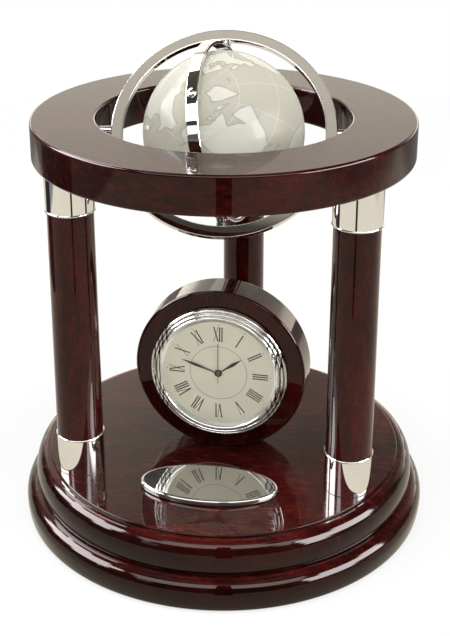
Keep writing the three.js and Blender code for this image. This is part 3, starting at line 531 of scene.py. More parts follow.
def moulded(name, colour, smooth, rough, grain=900, bump=0.05):
    """A matt surface with a fine tooth, between two values of roughness."""
    material, tree, shader = new_material(name)
    vector = object_place(tree)
    tooth = noise(tree, vector, grain, detail=3.0)
    patches = noise(tree, vector, grain / PATCH_SHARE, detail=2.0)
    raised = node(tree, "ShaderNodeBump", Strength=bump, Distance=TOOTH_HEIGHT, Height=tooth)
    set_inputs(tree, shader, Normal=raised.outputs["Normal"],
               Base_Color=mottled(tree, patches, colour, PATCH_TONE),
               Roughness=between(tree, tooth, *NOISE_SPAN, smooth, rough))
    return material


# Lens
LENS_REFLECTION = 0.012
LENS_EDGE_POWER = 5.0
LENS_ROUGHNESS = 0.01
LENS_TINT = (0.98, 0.99, 0.985)


def clear_lens(name):
    """A thin clear lens: it lets light straight through and mirrors more towards its edge."""
    material, tree = bare_material(name)
    path = node(tree, "ShaderNodeLightPath")
    slant = node(tree, "ShaderNodeLayerWeight", Blend=0.5)
    steep = math_node(tree, "POWER", slant.outputs["Facing"], LENS_EDGE_POWER)
    mirrored = math_node(tree, "MULTIPLY_ADD", steep, 1 - LENS_REFLECTION, LENS_REFLECTION)
    mirrored = math_node(tree, "MULTIPLY", mirrored, either_ray(tree, path, "Is Camera Ray", "Is Glossy Ray"))
    through = node(tree, "ShaderNodeBsdfTransparent", Color=LENS_TINT)
    gloss = node(tree, "ShaderNodeBsdfGlossy", Roughness=LENS_ROUGHNESS)
    finish_surface(tree, mix_shaders(tree, mirrored, through.outputs[0], gloss.outputs[0]))
    return material


# Globe, with the roughness and transmission of the sea and of the land
CRYSTAL_SEA = (0.54, 0.52, 0.43)
CRYSTAL_LAND = (0.81, 0.79, 0.70)
CRYSTAL_SHORE = (0.30, 0.29, 0.27)
CRYSTAL_ROUGHNESS = (0.5, 0.12)
CRYSTAL_TRANSMISSION = (0.2, 0.3)
CRYSTAL_SPECULAR = 0.03
CRYSTAL_IOR = 1.25
CRYSTAL_GLOSS = 0.06
CRYSTAL_GLOSS_ROUGHNESS = 0.02
CLOUD_SCALE = 40
CLOUD_TONE = 0.95
# Degrees over which the sea turns to land, and the strength of the dark line outside them
SHORE_BLUR = 0.3
SHORE_STRENGTH = 0.6
# Degrees between the grid's lines and across half a line, and how much the lines show
GRID_DEGREES = 30
GRID_LINE = 0.32
GRID_ON_LAND = 0.7
GRID_ON_SEA = 0.45


def grid_lines(tree, degrees):
    """1 on a line that repeats with GRID_DEGREES, 0 between the lines."""
    turns = math_node(tree, "DIVIDE", degrees, GRID_DEGREES)
    off = math_node(tree, "SUBTRACT", math_node(tree, "FRACT", math_node(tree, "ADD", turns, 0.5)), 0.5)
    return math_node(tree, "LESS_THAN", math_node(tree, "ABSOLUTE", off), GRID_LINE / GRID_DEGREES)


def etched_crystal(name):
    """Crystal with a frosted sea and polished land, crossed by thin grid lines that show on both."""
    material, tree, shader = new_material(name)
    land = attribute(tree, "land")
    lines = math_node(tree, "MAXIMUM", grid_lines(tree, attribute(tree, "latitude")),
                      grid_lines(tree, attribute(tree, "longitude")))
    clear = math_node(tree, "MULTIPLY", between(tree, land, -SHORE_BLUR, SHORE_BLUR),
                      math_node(tree, "MULTIPLY_ADD", lines, -GRID_ON_LAND, 1.0))
    clear = math_node(tree, "MAXIMUM", clear, math_node(tree, "MULTIPLY", lines, GRID_ON_SEA))
    cloud = noise(tree, object_place(tree), CLOUD_SCALE, detail=3.0)
    colour = mix_colours(tree, clear, mottled(tree, cloud, CRYSTAL_SEA, CLOUD_TONE), CRYSTAL_LAND)
    off_shore = math_node(tree, "ABSOLUTE", land)
    shore = between(tree, off_shore, SHORE_BLUR, SHORE_BLUR * 2, SHORE_STRENGTH, 0)
    set_inputs(tree, shader, Base_Color=mix_colours(tree, shore, colour, CRYSTAL_SHORE),
               Roughness=between(tree, clear, 0, 1, *CRYSTAL_ROUGHNESS),
               Transmission_Weight=between(tree, clear, 0, 1, *CRYSTAL_TRANSMISSION),
               Specular_IOR_Level=CRYSTAL_SPECULAR, IOR=CRYSTAL_IOR,
               Coat_Weight=CRYSTAL_GLOSS, Coat_Roughness=CRYSTAL_GLOSS_ROUGHNESS)
    return material


# The materials, with each colour and its two values of roughness
CHROME_COLOUR = (0.93, 0.925, 0.91)
# Painted shade lines at the bezel's outer and inner edges and in the grooves between its beads
BEZEL_SHADE_RADII = [BEZEL_RADIUS, BEZEL_LIP_RADIUS, *(inner for inner, _, _ in BEZEL_BEADS[:2])]
rosewood_x = rosewood("rosewood_flat", "X")
rosewood_z = rosewood("rosewood_upright", "Z")
# The base's boards, with painted shade on their rims and painted light on their tops
rosewood_base_painted_light = rosewood("rosewood_base_painted_light", "X", PAINTED_RIM_SHADE)
chrome = polished("chrome_plate", CHROME_COLOUR, 0.015, 0.03)
beaded_chrome = polished("beaded_chrome", (0.84, 0.83, 0.81), 0.1, 0.14, lines=BEZEL_SHADE_RADII)
satin_metal = polished("satin_metal", (0.80, 0.80, 0.76), 0.3, 0.4)
mirror_metal = polished("mirror_metal", (0.44, 0.43, 0.41), 0.02, 0.04, metallic=0.9)
hand_paint = moulded("hand_paint", (0.028, 0.022, 0.018), 0.3, 0.4)
hand_silver = polished("hand_silver", (0.2, 0.19, 0.175), 0.35, 0.45)
dial_paper = moulded("dial_paper", (0.8, 0.74, 0.59), 0.6, 0.75)
print_ink = moulded("print_ink", (0.008, 0.008, 0.007), 0.6, 0.7)
lens_glass = clear_lens("lens_glass")
crystal = etched_crystal("etched_crystal")
slot_materials = {
    "rosewood": rosewood_x,
    "chrome": chrome,
    "steel": polished("plain_steel", (0.55, 0.55, 0.54), 0.25, 0.4, grain=200),
    "brass": polished("plain_brass", (0.62, 0.5, 0.26), 0.2, 0.35, grain=200),
    "crystal": crystal,
    "lens_glass": lens_glass,
    "dial_face": dial_paper,
    "black_plastic": moulded("black_plastic", (0.03, 0.03, 0.03), 0.4, 0.55),
    "white_plastic": moulded("white_plastic", (0.8, 0.79, 0.75), 0.4, 0.5),
    "rubber": moulded("black_rubber", (0.02, 0.02, 0.02), 0.7, 0.85),
    "felt": moulded("green_felt", (0.03, 0.08, 0.05), 0.9, 1.0, grain=2500, bump=0.8),
    "green_board": moulded("green_board", (0.03, 0.18, 0.08), 0.35, 0.5),
    "copper_wire": polished("copper_wire", (0.6, 0.27, 0.13), 0.2, 0.35, grain=800),
    "hand_black": hand_paint,
    "silver_hand": hand_silver,
}
for subpart in frame["record"]["subparts"]:
    shown = frame["nodes"][subpart["node"]]
    shown.data.materials.clear()
    shown.data.materials.append(slot_materials[subpart["material_slot"]])


# Base
def make_plinth():
    low, high = heights("base_plinth")
    radius = half_width("base_plinth")
    foot = radius - PLINTH_FOOT_INSET
    joint = radius - PLINTH_SHELF_WIDTH
    wide = low + PLINTH_LOW_HEIGHT
    outline = [
        (0, low),
        *arc(foot, wide, PLINTH_FOOT_INSET, PLINTH_LOW_HEIGHT, -90, 0),
        *arc(joint, wide, PLINTH_SHELF_WIDTH, high - wide, 0, 90, LONG_ARC_STEPS)[1:],
        (0, high),
    ]
    piece("plinth_board", lathe(outline), "base", ["base_plinth"], IDENTITY, rosewood_base_painted_light, "rosewood")


def make_deck():
    low, high = heights("base_deck")
    radius = half_width("base_deck")
    wide = low + DECK_LOW_HEIGHT
    ovolo = radius - DECK_OVOLO_WIDTH
    ovolo_top = wide + DECK_OVOLO_HEIGHT
    flat = ovolo - DECK_STEP_WIDTH
    outline = [
        (0, low),
        *arc(radius - DECK_UNDER_WIDTH, wide, DECK_UNDER_WIDTH, DECK_LOW_HEIGHT, -90, 0),
        *arc(ovolo, wide, DECK_OVOLO_WIDTH, DECK_OVOLO_HEIGHT, 0, 90, LONG_ARC_STEPS)[1:],
        (flat, ovolo_top),
        *arc(flat - DECK_EASE, high - DECK_EASE, DECK_EASE, DECK_EASE, 0, 90, EASE_STEPS),
        (0, high),
    ]
    piece("deck_board", lathe(outline), "base", ["base_deck"], IDENTITY, rosewood_base_painted_light, "rosewood")


# Columns
def make_shaft(side):
    shaft = f"column_shaft_{side}"
    low, high = heights(shaft)
    sleeve = half_width(f"lower_ferrule_{side}") - FERRULE_BEAD
    sleeve_low, sleeve_high = heights(f"lower_ferrule_{side}")
    shoulder = sleeve_high - sleeve_low + SEAT_GAP
    tenon = sleeve - FERRULE_WALL - SEAT_GAP
    foot_radius = sleeve - SHAFT_LOW_INSET
    head_radius = sleeve - SHAFT_TOP_INSET
    outline = [
        (0, low), (tenon, low), (tenon, low + shoulder), (foot_radius, low + shoulder),
        (head_radius, high - shoulder), (tenon, high - shoulder), (tenon, high), (0, high),
    ]
    piece(f"turned_shaft_{side}", lathe(outline, SMALL_STEPS), "base", [shaft], centred_on(shaft, 0),
          rosewood_z, "rosewood")


def make_ferrule(side, level):
    """A sleeve with a thin rounded bead at the end that faces the shaft."""
    ferrule = f"{level}_ferrule_{side}"
    low, high = heights(ferrule)
    bead_radius = half_width(ferrule)
    outer = bead_radius - FERRULE_BEAD
    inner = outer - FERRULE_WALL
    half_bead = FERRULE_BEAD_LENGTH / 2
    ease = FERRULE_FOOT_EASE
    length = high - low
    outline = [
        (inner, 0),
        *arc(outer - ease, ease, ease, ease, -90, 0, EASE_STEPS),
        (outer, length - FERRULE_BEAD_LENGTH),
        *arc(outer, length - half_bead, FERRULE_BEAD, half_bead, -90, 90),
        (inner, length),
    ]
    if level == "upper":
        outline = [(r, length - z) for r, z in outline]
    piece(f"{level}_sleeve_{side}", lathe(outline, SMALL_STEPS), "base", [ferrule],
          centred_on(ferrule, low), chrome, "chrome")


def make_top_ring():
    low, high = heights("top_ring")
    outline = ring_section(RING_HOLE_RADIUS, half_width("top_ring"), low, high, RING_EASE)
    piece("ring_board", lathe(outline), "base", ["top_ring"], IDENTITY, rosewood_x, "rosewood")


# Gimbal
def band(inner, outer, width):
    """A polished ring in its own XY plane."""
    return lathe(ring_section(inner, outer, -width / 2, width / 2, GIMBAL_EASE, EASE_STEPS))


def stepped(*steps):
    """The outline of a round pin from the (radius, low, high) of each step."""
    points = [(0, steps[0][1])]
    for radius, low, high in steps:
        points += [(radius, low), (radius, high)]
    return [*points, (0, steps[-1][2])]


def turned_pin(outline, way):
    """A round pin whose own Z axis points this way in its ring's frame."""
    body = lathe(outline, PIN_STEPS)
    body.transform(way.to_track_quat("Z", "Y").to_matrix().to_4x4())
    return body


def make_gimbal():
    journal_end = OUTER_RING_RADIUS + RUNNING_GAP
    ring_pin = stepped(
        (JOURNAL_RADIUS, OUTER_RING_RADIUS - JOURNAL_DEPTH, journal_end),
        (RING_PIN_RADIUS, journal_end, RING_HOLE_RADIUS + RING_PIN_DEPTH),
    )
    shank_low, shank_high = INNER_RING_RADIUS + RUNNING_GAP, OUTER_RING_INNER - RUNNING_GAP
    middle_pin = stepped(
        (JOURNAL_RADIUS, INNER_RING_INNER + RUNNING_GAP, shank_low),
        (INNER_PIN_RADIUS, shank_low, shank_high),
        (JOURNAL_RADIUS, shank_high, OUTER_RING_INNER + JOURNAL_DEPTH),
    )
    head_foot = INNER_RING_RADIUS + SEAT_GAP
    globe_pin = [
        *stepped((JOURNAL_RADIUS, GLOBE_RADIUS - GLOBE_PIN_DEPTH, head_foot))[:-1],
        *arc(0, head_foot, GLOBE_PIN_HEAD_RADIUS, GLOBE_PIN_HEAD_HEIGHT, 0, 90)[:-1],
        (0, head_foot + GLOBE_PIN_HEAD_HEIGHT),
    ]
    x, y = Vector((1, 0, 0)), Vector((0, 1, 0))
    chrome_piece = (chrome, "chrome")
    piece("outer_gimbal_band", band(OUTER_RING_INNER, OUTER_RING_RADIUS, OUTER_RING_THICKNESS),
          "outer_ring", ["outer_gimbal_ring"], outer_matrix, *chrome_piece)
    piece("inner_gimbal_band", band(INNER_RING_INNER, INNER_RING_RADIUS, INNER_RING_WIDTH),
          "inner_ring", ["inner_gimbal_ring"], inner_matrix, *chrome_piece)
    for side, way in (("right", 1), ("left", -1)):
        piece(f"gimbal_pin_{side}", turned_pin(ring_pin, way * x), "base", [f"ring_pin_{side}"],
              outer_matrix, *chrome_piece)
    for side, way in (("upper", 1), ("lower", -1)):
        piece(f"band_pin_{side}", turned_pin(middle_pin, way * y), "outer_ring", [f"inner_ring_pin_{side}"],
              outer_matrix, *chrome_piece)
    for side, way in (("front", 1), ("rear", -1)):
        piece(f"pole_pin_{side}", turned_pin(globe_pin, way * x), "inner_ring", [f"globe_pin_{side}"],
              inner_matrix, *chrome_piece)


# Coastlines as (longitude, latitude) in degrees, a few points for each shore
LANDS = [
    # Africa
    [(-6, 36), (10, 37), (20, 32), (32, 31), (35, 25), (43, 12), (51, 11), (42, -2), (40, -15), (34, -25),
     (27, -34), (18, -34), (12, -18), (9, -2), (9, 4), (-8, 4), (-16, 13), (-16, 24)],
    # Europe and Asia
    [(-9, 37), (-9, 43), (-2, 44), (-4, 48), (4, 52), (8, 57), (12, 54), (20, 55), (23, 59), (29, 60),
     (22, 64), (24, 66), (17, 61), (16, 57), (11, 59), (5, 59), (6, 63), (15, 68), (26, 71), (40, 67),
     (60, 69), (70, 73), (85, 74), (104, 78), (113, 74), (140, 73), (160, 70), (180, 69), (178, 63),
     (163, 60), (161, 55), (156, 51), (155, 58), (142, 59), (135, 54), (140, 48), (130, 42), (129, 35),
     (126, 38), (121, 40), (118, 38), (122, 32), (117, 24), (108, 21), (109, 12), (105, 9), (100, 13),
     (103, 2), (98, 9), (98, 16), (91, 22), (80, 15), (77, 8), (72, 20), (66, 25), (57, 26), (50, 30),
     (52, 24), (59, 22), (52, 16), (44, 13), (39, 21), (35, 28), (36, 36), (28, 37), (27, 41), (41, 42),
     (38, 47), (31, 46), (28, 43), (23, 38), (19, 42), (13, 45), (18, 40), (16, 38), (10, 44), (3, 43),
     (0, 39)],
    # North America
    [(-168, 66), (-156, 71), (-128, 70), (-112, 68), (-95, 69), (-82, 68), (-94, 60), (-82, 55), (-79, 51),
     (-78, 62), (-66, 59), (-56, 52), (-65, 47), (-70, 43), (-75, 36), (-81, 31), (-80, 25), (-84, 30),
     (-97, 28), (-97, 20), (-90, 21), (-88, 16), (-83, 10), (-78, 8), (-86, 12), (-95, 16), (-105, 20),
     (-113, 31), (-110, 23), (-117, 32), (-124, 40), (-124, 48), (-135, 58), (-152, 60), (-165, 55),
     (-158, 59), (-166, 62)],
    # South America
    [(-78, 8), (-72, 12), (-61, 10), (-50, 1), (-35, -6), (-39, -16), (-48, -26), (-57, -37), (-66, -45),
     (-68, -54), (-75, -50), (-73, -37), (-70, -20), (-81, -5)],
    # Australia
    [(114, -22), (122, -18), (130, -12), (137, -16), (142, -11), (146, -19), (153, -27), (150, -37),
     (140, -38), (131, -32), (116, -35)],
    # Antarctica
    [(-180, -78), (-120, -74), (-75, -73), (-60, -64), (-60, -74), (-20, -74), (20, -70), (60, -67),
     (110, -66), (150, -69), (180, -78), (180, -90), (-180, -90)],
    # Greenland
    [(-72, 78), (-30, 83), (-18, 75), (-40, 65), (-45, 60), (-54, 68)],
    # Islands
    [(-5, 50), (1, 52), (-3, 58), (-6, 56)], [(44, -25), (47, -24), (50, -15), (45, -17)],
    [(131, 33), (140, 35), (145, 44), (140, 42)], [(96, 5), (106, -6), (101, -3)],
    [(109, 1), (117, 7), (117, -3), (111, -3)], [(131, -1), (147, -7), (145, -4), (138, -8)],
    [(167, -46), (174, -41), (173, -35), (178, -38)], [(-24, 65), (-14, 65), (-18, 63)],
    [(120, 16), (126, 8), (122, 18)], [(80, 9), (82, 7), (80, 6)], [(-84, 22), (-74, 20), (-78, 22)],
    [(-90, 73), (-62, 66), (-75, 73)], [(-115, 72), (-102, 68), (-105, 73)],
    [(145, -41), (148, -43), (148, -40)],
]
# Least width of a degree of longitude near the poles, as a share of one at the equator
POLE_WIDTH = 0.1


def shore_distances(longitudes, latitudes):
    """Degrees from each point to the nearest shore, above 0 on land."""
    nearest = np.full(len(longitudes), np.inf)
    inside = np.zeros(len(longitudes), bool)
    narrowing = np.maximum(POLE_WIDTH, np.cos(np.radians(latitudes)))
    for shore in LANDS:
        for (x1, y1), (x2, y2) in zip(shore, shore[1:] + shore[:1]):
            if y1 != y2:
                crossing = x1 + (latitudes - y1) * (x2 - x1) / (y2 - y1)
                inside ^= ((y1 > latitudes) != (y2 > latitudes)) & (longitudes < crossing)
            to_x, to_y = (x1 - longitudes) * narrowing, y1 - latitudes
            along_x, along_y = (x2 - x1) * narrowing, y2 - y1
            length_squared = along_x ** 2 + along_y ** 2
            share = np.clip(-(to_x * along_x + to_y * along_y) / length_squared, 0, 1)
            nearest = np.minimum(nearest, np.hypot(to_x + along_x * share, to_y + along_y * share))
    return np.where(inside, nearest, -nearest)


# Steps of the ball all round, and the map's turn about the poles in degrees
GLOBE_STEPS = 240
GLOBE_TURN = 40


def make_globe():
    """A fine ball about its own Z axis, whose land attribute is the distance to the shore."""
    meridian = arc(0, 0, GLOBE_RADIUS, GLOBE_RADIUS, -90, 90, GLOBE_STEPS // 2)[1:-1]
    body = lathe([(0, -GLOBE_RADIUS), *meridian, (0, GLOBE_RADIUS)], GLOBE_STEPS)
    places = np.array([vertex.co for vertex in body.verts]) / GLOBE_RADIUS
    latitudes = np.degrees(np.arcsin(np.clip(places[:, 2], -1, 1)))
    longitudes = np.degrees(np.arctan2(places[:, 1], places[:, 0])) + GLOBE_TURN
    lands = shore_distances((longitudes + 180) % 360 - 180, latitudes)
    hinge = axis_of("inner_ring_spin")
    pole_up = axes_matrix(gimbal_place, hinge, axis_of("globe_spin").cross(hinge))
    globe = piece("globe_ball", body, "globe", ["globe"], pole_up, crystal, "crystal")
    for name, values in (("land", lands), ("latitude", latitudes), ("longitude", longitudes)):
        layer = globe.data.attributes.new(name, "FLOAT", "POINT")
        layer.data.foreach_set("value", values)


# Clock
def make_case():
    _, high = heights("clock_case")
    radius = high - place_of("minute_spin").z
    low_y, high_y = (corner.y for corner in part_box("clock_case"))
    sweep = 2 * radius * abs(clock_forward.x)
    depth = (high_y - low_y - sweep) / abs(clock_forward.y)
    ease = CASE_EASE
    outline = [
        (0, -depth),
        *arc(radius - ease, ease - depth, ease, ease, -90, 0),
        *arc(radius - ease, -ease, ease, ease, 0, 90),
        (CASE_BORE_RADIUS, 0), (CASE_BORE_RADIUS, -CASE_BORE_DEPTH), (0, -CASE_BORE_DEPTH),
    ]
    body = lathe(outline)
    everything = [*body.verts, *body.edges, *body.faces]
    bmesh.ops.bisect_plane(body, geom=everything, plane_co=(0, CASE_FOOT_CUT - radius, 0),
                           plane_no=(0, -1, 0), clear_outer=True)
    bmesh.ops.holes_fill(body, edges=[edge for edge in body.edges if edge.is_boundary], sides=0)
    bmesh.ops.recalc_face_normals(body, faces=body.faces)
    piece("case_drum", body, "base", ["clock_case"], clock_matrix, rosewood_z, "rosewood")


def make_bezel():
    """Three round beads that climb from the case's face to the lens."""
    lip = BEZEL_HEIGHT - BEZEL_LIP_THICKNESS
    outline = [(BEZEL_SEAT_RADIUS, SEAT_GAP), (BEZEL_RADIUS - BEZEL_FOOT_EASE, SEAT_GAP)]
    outer, foot = BEZEL_RADIUS, SEAT_GAP + BEZEL_FOOT_EASE
    for inner, top, groove in BEZEL_BEADS:
        half = (outer - inner) / 2
        outline += arc(outer - half, foot, half, top - foot, 0, 90)
        outline += arc(outer - half, groove, half, top - groove, 90, 180)[1:]
        outer, foot = inner, groove
    outline += [(BEZEL_LIP_RADIUS, lip), (BEZEL_SEAT_RADIUS, lip)]
    piece("bezel_ring", lathe(outline), "insert", ["bezel"], clock_matrix, beaded_chrome, "chrome")


def make_lens():
    rim = BEZEL_LIP_RADIUS - RUNNING_GAP
    steps = LONG_ARC_STEPS
    domed = [(rim * i / steps, LENS_LOW + LENS_RISE * (1 - (i / steps) ** 2)) for i in range(steps + 1)]
    outline = [*domed, (INSERT_RADIUS, LENS_LOW), (INSERT_RADIUS, LENS_LOW + LENS_THICKNESS)]
    outline += [(r, z + LENS_THICKNESS) for r, z in reversed(domed)]
    piece("lens_dome", lathe(outline), "insert", ["lens"], clock_matrix, lens_glass, "lens_glass")


def make_dial():
    outline = [
        (REFLECTOR_INNER, REFLECTOR_LOW), (INSERT_RADIUS, REFLECTOR_LOW),
        (INSERT_RADIUS, REFLECTOR_LOW + REFLECTOR_HEIGHT),
        (BEZEL_LIP_RADIUS + RUNNING_GAP, REFLECTOR_LOW + REFLECTOR_HEIGHT),
    ]
    piece("reflector_slope", lathe(outline), "insert", ["reflector_ring"], clock_matrix,
          satin_metal, "chrome")
    low = DIAL_TOP - DIAL_THICKNESS
    disc = lathe(rectangle(DIAL_HOLE, INSERT_RADIUS, low, DIAL_TOP))
    piece("dial_disc", disc, "insert", ["dial"], clock_matrix, dial_paper, "dial_face")


# Roman numerals from strokes, in shares of the numeral's height; x is across, y is outward
THICK_STROKE = 0.078
THIN_STROKE = 0.034
SERIF_STROKE = 0.028
SERIF_REACH = 0.026
LETTER_WIDTHS = {"I": 0.158, "V": 0.33, "X": 0.33}
NUMERALS = ["XII", "I", "II", "III", "IIII", "V", "VI", "VII", "VIII", "IX", "X", "XI"]


def stroke(x_low, x_high, width):
    """A slanted stroke from the foot to the head of a letter, cut level at both ends."""
    half = width / 2
    return [(x_low - half, 0), (x_low + half, 0), (x_high + half, 1), (x_high - half, 1)]


def serif(x, y, width):
    half = width / 2 + SERIF_REACH
    return rectangle(x - half, x + half, y, y + SERIF_STROKE)


def letter(sign):
    """Strokes of one letter, whose middle is at x 0."""
    reach = LETTER_WIDTHS[sign] / 2 - SERIF_REACH
    top = 1 - SERIF_STROKE
    if sign == "I":
        return [stroke(0, 0, THICK_STROKE), serif(0, 0, THICK_STROKE), serif(0, top, THICK_STROKE)]
    if sign == "V":
        return [stroke(0, -reach, THICK_STROKE), stroke(0, reach, THIN_STROKE),
                serif(-reach, top, THICK_STROKE), serif(reach, top, THIN_STROKE)]
    return [stroke(reach, -reach, THICK_STROKE), stroke(-reach, reach, THIN_STROKE),
            serif(-reach, top, THICK_STROKE), serif(reach, top, THIN_STROKE),
            serif(reach, 0, THICK_STROKE), serif(-reach, 0, THIN_STROKE)]


def turned(points, angle):
    cos, sin = math.cos(angle), math.sin(angle)
    return [(x * cos - y * sin, x * sin + y * cos) for x, y in points]


def make_print():
    """The numerals, the dots outside them and the thin circle inside them."""
    body = bmesh.new()
    low, high = DIAL_TOP, DIAL_TOP + PRINT_HEIGHT
    tall = NUMERAL_OUTER - NUMERAL_INNER
    dot_turns = [FULL_TURN * i / DOT_STEPS for i in range(DOT_STEPS)]
    dot = [(DOT_RADIUS * math.cos(turn), DOT_CIRCLE + DOT_RADIUS * math.sin(turn)) for turn in dot_turns]
    for hour, text in enumerate(NUMERALS):
        hour_turn = -FULL_TURN * hour / len(NUMERALS)
        x = -sum(LETTER_WIDTHS[sign] for sign in text) / 2
        for sign in text:
            x += LETTER_WIDTHS[sign] / 2
            for outline in letter(sign):
                points = [((x + u) * tall, NUMERAL_INNER + v * tall) for u, v in outline]
                prism(turned(points, hour_turn), low, high, body)
            x += LETTER_WIDTHS[sign] / 2
        prism(turned(dot, hour_turn), low, high, body)
    circle = lathe(rectangle(THIN_CIRCLE, THIN_CIRCLE + THIN_CIRCLE_WIDTH, low, high))
    piece("dial_numerals", body, "insert", [], clock_matrix, print_ink, "hand_black", smooth=False)
    piece("dial_circle", circle, "insert", [], clock_matrix, print_ink, "hand_black")


# Hands
def hub_disc(radius, bore, low):
    ease = HAND_THICKNESS / 2
    return lathe([
        (bore, low), (radius, low),
        *arc(radius - ease, low + HAND_THICKNESS - ease, ease, ease, 0, 90, EASE_STEPS),
        (bore, low + HAND_THICKNESS),
    ], SMALL_STEPS)


# A blade's sections as shares of its length and of its half width, and the heights of its edge and tip
# as shares of its thickness
LANCE_ROOT_WIDTH = 0.32
LANCE_SECTIONS = [(0.3, 0.45), (0.62, 1), (0.8, 0.55)]
LANCE_EDGE = 0.5
LANCE_TIP = 0.4


def lance(length, width, low, bore):
    """A lance-shaped blade with a raised spine, from the hub's rim outward."""
    half = width / 2
    edge, spine = low + HAND_THICKNESS * LANCE_EDGE, low + HAND_THICKNESS
    sections = [(bore + (HAND_HUB_RADIUS - bore) / 2, half * LANCE_ROOT_WIDTH)]
    sections += [(length * along, half * across) for along, across in LANCE_SECTIONS]
    body = hub_disc(HAND_HUB_RADIUS, bore, low)
    rows = []
    for y, reach in sections:
        section = [(-reach, low), (reach, low), (reach, edge), (0, spine), (-reach, edge)]
        rows.append([body.verts.new((x, y, z)) for x, z in section])
    tip = body.verts.new((0, length, low + HAND_THICKNESS * LANCE_TIP))
    faces = [body.faces.new(rows[0])]
    for near, far in zip(rows, rows[1:]):
        faces += bridge(body, near, far)
    last = rows[-1]
    faces += [body.faces.new((point, following, tip)) for point, following in zip(last, last[1:] + last[:1])]
    bmesh.ops.recalc_face_normals(body, faces=faces)
    return body


def make_hands():
    turns = {"hour": -FULL_TURN * (SHOWN_HOURS + SHOWN_MINUTES / 60) / len(NUMERALS),
             "minute": -FULL_TURN * SHOWN_MINUTES / 60}
    for name, sizes in LANCES.items():
        place = clock_matrix @ Matrix.Rotation(turns[name], 4, "Z")
        piece(f"{name}_lance", lance(*sizes), name, [f"{name}_hand"], place, hand_paint, "hand_black")
    half = SECOND_HAND_WIDTH / 2
    second = hub_disc(SECOND_HUB_RADIUS, half, SECOND_HAND_LOW)
    needle = rectangle(-half, half, -SECOND_HAND_TAIL, SECOND_HAND_LENGTH)
    prism(needle, SECOND_HAND_LOW, SECOND_HAND_LOW + HAND_THICKNESS, second)
    piece("second_needle", second, "second", ["second_hand"], clock_matrix, hand_silver, "silver_hand")


# Engraving plate
def make_plate():
    """A mirror-polished oval with a rounded rim."""
    low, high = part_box("engraving_plate")
    half_length, half_depth = (high.x - low.x) / 2, (high.y - low.y) / 2
    thickness = high.z - low.z
    rings = [(0, 0), *arc(-PLATE_RIM, thickness - PLATE_RIM, PLATE_RIM, PLATE_RIM, 0, 90)]
    rings.append((-PLATE_RIM - SUPPORT, thickness))
    body = bmesh.new()
    loops = [vertex_loop(body, half_length + inset, half_depth + inset, z) for inset, z in rings]
    for near, far in zip(loops, loops[1:]):
        bridge(body, near, far)
    body.faces.new(loops[0])
    body.faces.new(loops[-1])
    bmesh.ops.recalc_face_normals(body, faces=body.faces)
    piece("mirror_plate", body, "base", ["engraving_plate"], centred_on("engraving_plate", low.z),
          mirror_metal, "chrome")


# Studio: floor, world, soft boxes and dark stands
WHITE = (1.0, 1.0, 1.0)
FLOOR_HALF = 6.0
FLOOR_COLOUR = (0.86, 0.86, 0.85)
FLOOR_GLOW = 0.75
# Distances over which the shadowed paper turns plain white to the eye
FLOOR_FADE = (0.3, 0.9)
MIRRORED_GLOW = 0.85
MIRRORED_FLOOR = (0.68, 0.61, 0.48)
MIRRORED_DARK = (0.06, 0.05, 0.05)
# Axis, outside and inside ends of each blurred edge of the paper that mirrors see
PAPER_EDGES = [("X", -0.58, -0.54), ("X", 0.68, 0.58), ("Y", 0.5, 0.36)]
SKY_LIGHT = 0.22
STUDIO_MIDDLE = Vector((0, 0, 0.12))
WALL_PEAK = 4.5
WALL_TINT = (1.0, 0.92, 0.79)
# Brightness that metal, lacquer and glass see, against the sine of the height above the horizon
WALL_FOOT = [(0.0, 2.9), (0.14, 2.6), (0.22, 1.05)]
WALL_BAND = [(0.335, 1.0), (0.352, 2.2), (0.42, 2.2)]
BACK_WALL = [*WALL_FOOT, *WALL_BAND, (0.45, 0.6), (0.55, 0.3), (0.66, 0.05), (1.0, 0.03)]
BACK_LEFT_WALL = [*WALL_FOOT, *WALL_BAND, (0.45, 1.4), (0.55, 1.0), (0.66, 0.15), (1.0, 0.03)]
BACK_RIGHT_WALL = [*WALL_FOOT, (0.4, 0.8), (0.45, 0.4), (0.66, 0.05), (1.0, 0.03)]
SIDE_WALL = [(0.0, 0.1), (0.4, 0.06), (1.0, 0.03)]
FRONT_ROOM = [(0.0, 0.15), (0.3, 0.05), (0.879, 0.05), (0.886, 0.38), (0.955, 0.6), (0.975, 0.03),
              (1.0, 0.03)]
# Where one wall turns into the next, as parts of the direction's X or Y
BACK_START = (-0.3, 0.25)
BACK_LEFT_START = (-0.06, -0.25)
BACK_RIGHT_START = (0.03, 0.25)
SIDE_WALL_START = (0.58, 0.75)
# Name, azimuth, elevation, distance, width, height, radiance as a lamp and as seen in mirrors
SOFTBOXES = [
    ("left_softbox", -84, 31, 1.6, 1.5, 0.85, 3.0, 20.0),
    ("back_left_softbox", -130, 49, 1.6, 0.9, 0.7, 1.2, 9.0),
    ("right_softbox", 76, 18, 1.6, 1.5, 0.75, 5.2, 20.0),
    ("front_softbox", 5, 46, 1.7, 2.9, 0.75, 1.7, 4.8),
    ("front_card", -33, 18, 1.7, 0.3, 0.3, 0.0, 1.2),
    ("top_softbox", 0, 80, 1.7, 1.2, 1.2, 4.4, 0.0),
]
SOFT_EDGE = 0.07
# Dark stands that only mirrors see: name, azimuth, distance, width, height
STANDS = [
    ("camera_stand", 8.3, 0.34, 0.046, 0.35),
    ("left_stand", -95, 0.38, 0.22, 0.11),
]
STAND_COLOUR = (0.025, 0.024, 0.028)


def stage_sheet(name, corners, material):
    body = bmesh.new()
    body.faces.new([body.verts.new(corner) for corner in corners])
    sheet = new_object(name, new_mesh(name, body, material))
    return sheet


def level_square(half):
    return [(x, y, 0) for x, y in rectangle(-half, half, -half, half)]


